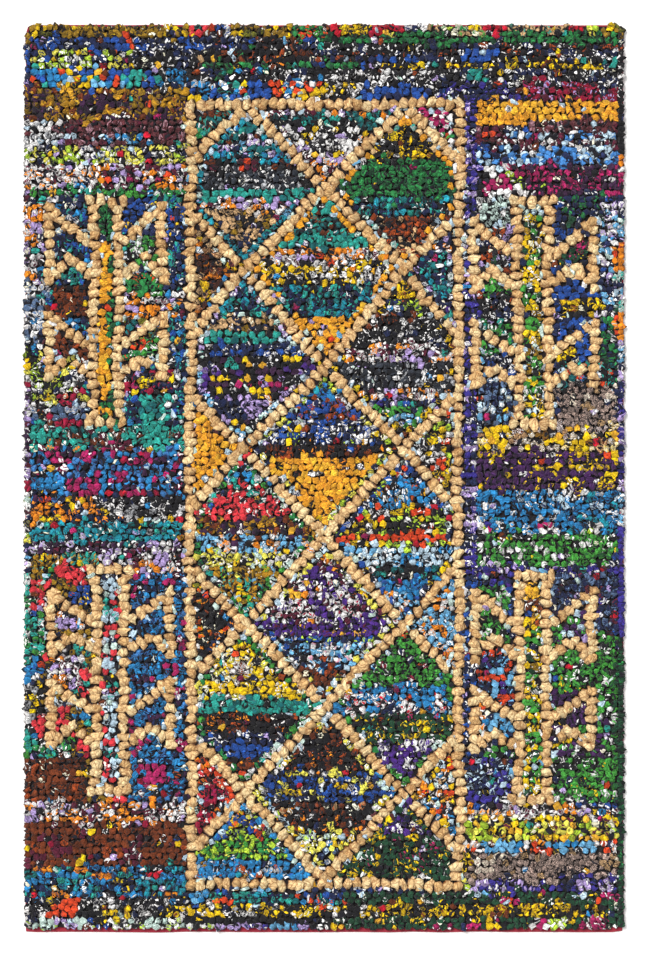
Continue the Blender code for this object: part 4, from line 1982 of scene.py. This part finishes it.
@dataclass(frozen=True)
class GroundCloth:
    """The woven ground cloth that the loops are punched through, with its turned hem."""

    thickness: float = 0.0025
    cell: float = 0.024
    hem_width: float = 0.011
    inner_drop: float = 0.00045
    wander: float = 0.0012
    wave: float = 0.06
    side_slice: float = 0.5
    end_slice: float = 3.5
    edge_round: float = 0.0007
    sharp_angle: float = 1.0

    def build(self, finish: bpy.types.Material) -> bpy.types.Object:
        """Build the cloth.

        Args:
            finish: Its material.

        Returns:
            The piece.
        """
        half_x = RUG_WIDTH / 2
        half_y = RUG_LENGTH / 2
        bm = bmesh.new()
        columns = round(RUG_WIDTH / self.cell)
        rows = round(RUG_LENGTH / self.cell)
        bmesh.ops.create_grid(bm, x_segments=columns, y_segments=rows, size=0.5)
        bmesh.ops.scale(bm, vec=(RUG_WIDTH, RUG_LENGTH, 1.0), verts=bm.verts)
        for vert in bm.verts:
            self.settle(vert, half_x, half_y)
        raised = bmesh.ops.extrude_face_region(bm, geom=bm.faces[:])
        top = [part for part in raised["geom"] if isinstance(part, bmesh.types.BMVert)]
        for vert in top:
            rim_gap = min(half_x - abs(vert.co.x), half_y - abs(vert.co.y))
            vert.co.z = self.thickness - (0.0 if rim_gap < self.hem_width else self.inner_drop)
        bmesh.ops.recalc_face_normals(bm, faces=bm.faces)
        sharp = [edge for edge in bm.edges if edge.calc_face_angle(0.0) > self.sharp_angle]
        bmesh.ops.bevel(
            bm, geom=sharp, offset=self.edge_round, segments=2, profile=0.5, affect="EDGES", material=-1)
        return make_object("ground_cloth", bm, finish)

    def settle(self, vert: bmesh.types.BMVert, half_x: float, half_y: float) -> None:
        """Draw a point in from the straight outline, where the hem wanders and the corners are cut.

        Args:
            vert: The point.
            half_x: Half of the cloth's width.
            half_y: Half of the cloth's length.
        """
        x, y, _ = vert.co
        side = (1 if x > 0 else -1, 1 if y > 0 else -1)
        gap_x = half_x - abs(x)
        gap_y = half_y - abs(y)
        if gap_x < self.cell / 2:
            drawn_in = 1 - noise.noise((y / self.wave, side[0], self.side_slice))
            vert.co.x -= side[0] * self.wander * drawn_in
        if gap_y < self.cell / 2:
            drawn_in = 1 - noise.noise((x / self.wave, side[1], self.end_slice))
            vert.co.y -= side[1] * self.wander * drawn_in
        pull = CORNER_PULL[side] / 2
        if gap_x < self.cell / 2 and gap_y < self.cell / 2:
            vert.co.x -= side[0] * pull
            vert.co.y -= side[1] * pull


@dataclass(frozen=True)
class Studio:
    """The plain pale floor, the soft light, and the camera straight above the rug."""

    floor_size: float = 9.0
    floor_drop: float = 0.0004
    floor_shade: float = 0.9
    floor_roughness: float = 0.95
    view_length: float = 1.952
    view_centre: Point = (0.003, -0.003)
    lens: float = 110.0
    sensor: float = 36.0
    rug_top: float = 0.012
    key_strength: float = 3.45
    key_colour: Colour = (1.0, 0.975, 0.93)
    key_angle: float = 28.0
    key_tilt: float = 38.0
    key_turn: float = 40.0
    sky_strength: float = 0.75

    def build(self) -> None:
        """Set up the floor, the light and the camera."""
        bm = bmesh.new()
        bmesh.ops.create_grid(bm, x_segments=1, y_segments=1, size=self.floor_size / 2)
        bmesh.ops.translate(bm, vec=(0.0, 0.0, -self.floor_drop), verts=bm.verts)
        finish = bpy.data.materials.new("pale_floor")
        finish.use_nodes = True
        shader = finish.node_tree.nodes["Principled BSDF"]
        shader.inputs["Base Color"].default_value = (*[self.floor_shade] * 3, 1.0)
        shader.inputs["Roughness"].default_value = self.floor_roughness
        make_object("floor", bm, finish)

        key = bpy.data.lights.new("key", "SUN")
        key.energy = self.key_strength
        key.color = self.key_colour
        key.angle = math.radians(self.key_angle)
        lamp = bpy.data.objects.new("key", key)
        lamp.rotation_euler = (math.radians(self.key_tilt), 0.0, math.radians(180 + self.key_turn))
        bpy.context.scene.collection.objects.link(lamp)

        world = bpy.data.worlds.new("soft_sky")
        world.use_nodes = True
        world.node_tree.nodes["Background"].inputs["Color"].default_value = (1.0, 1.0, 1.0, 1.0)
        world.node_tree.nodes["Background"].inputs["Strength"].default_value = self.sky_strength
        bpy.context.scene.world = world

        lens = bpy.data.cameras.new("camera")
        lens.lens = self.lens
        lens.sensor_width = self.sensor
        camera = bpy.data.objects.new("camera", lens)
        camera.location = (*self.view_centre, self.rug_top + self.view_length * self.lens / self.sensor)
        bpy.context.scene.collection.objects.link(camera)
        bpy.context.scene.camera = camera
        bpy.context.scene.view_settings.view_transform = "Standard"


def main() -> None:
    """Build the rug, piece by piece, and the studio round it."""
    logging.basicConfig(level=logging.INFO, format="%(message)s")
    Studio().build()
    groups = {"print": RagPrint().build(), "crease": StripCreases().build(), "grain": CottonGrain().build()}
    rag = RagCotton("rag_cotton").build(groups)
    # Ecru jersey: warm brown painted shade, and stronger painted shade in its folds and creases.
    ecru = RagCotton(
        "ecru_jersey", facet_spread=0.20, fold_shade=1.4, fold_width=0.09, shadow_tint=(0.26, 0.13, 0.06),
        crease_shade=0.36, fold_depth=0.0016, dark_below=0.0080, bright_above=0.0145,
    ).build(groups)
    cloth_finish = PlainCotton("red_cotton").build(groups)
    # Painted shade: the packed feet are coloured near black for the shade deep down in the pile.
    feet_shade_finish = PlainCotton("packed_feet_painted_shade", colour="2A2226", worn="171417").build(groups)

    pile = LoopPile()
    planting = Planting(Chart(Lattice()))
    loops = pile.build_loops(planting, rag, ecru)
    loops.append(pile.build_feet(planting, feet_shade_finish))
    for piece in loops:
        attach(piece, "root")
        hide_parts("pile")
    cloth = GroundCloth().build(cloth_finish)
    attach(cloth, "root")
    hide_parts("backing")
    log.info("ground_cloth: %d faces", len(cloth.data.polygons))


if __name__ == "__main__":
    main()
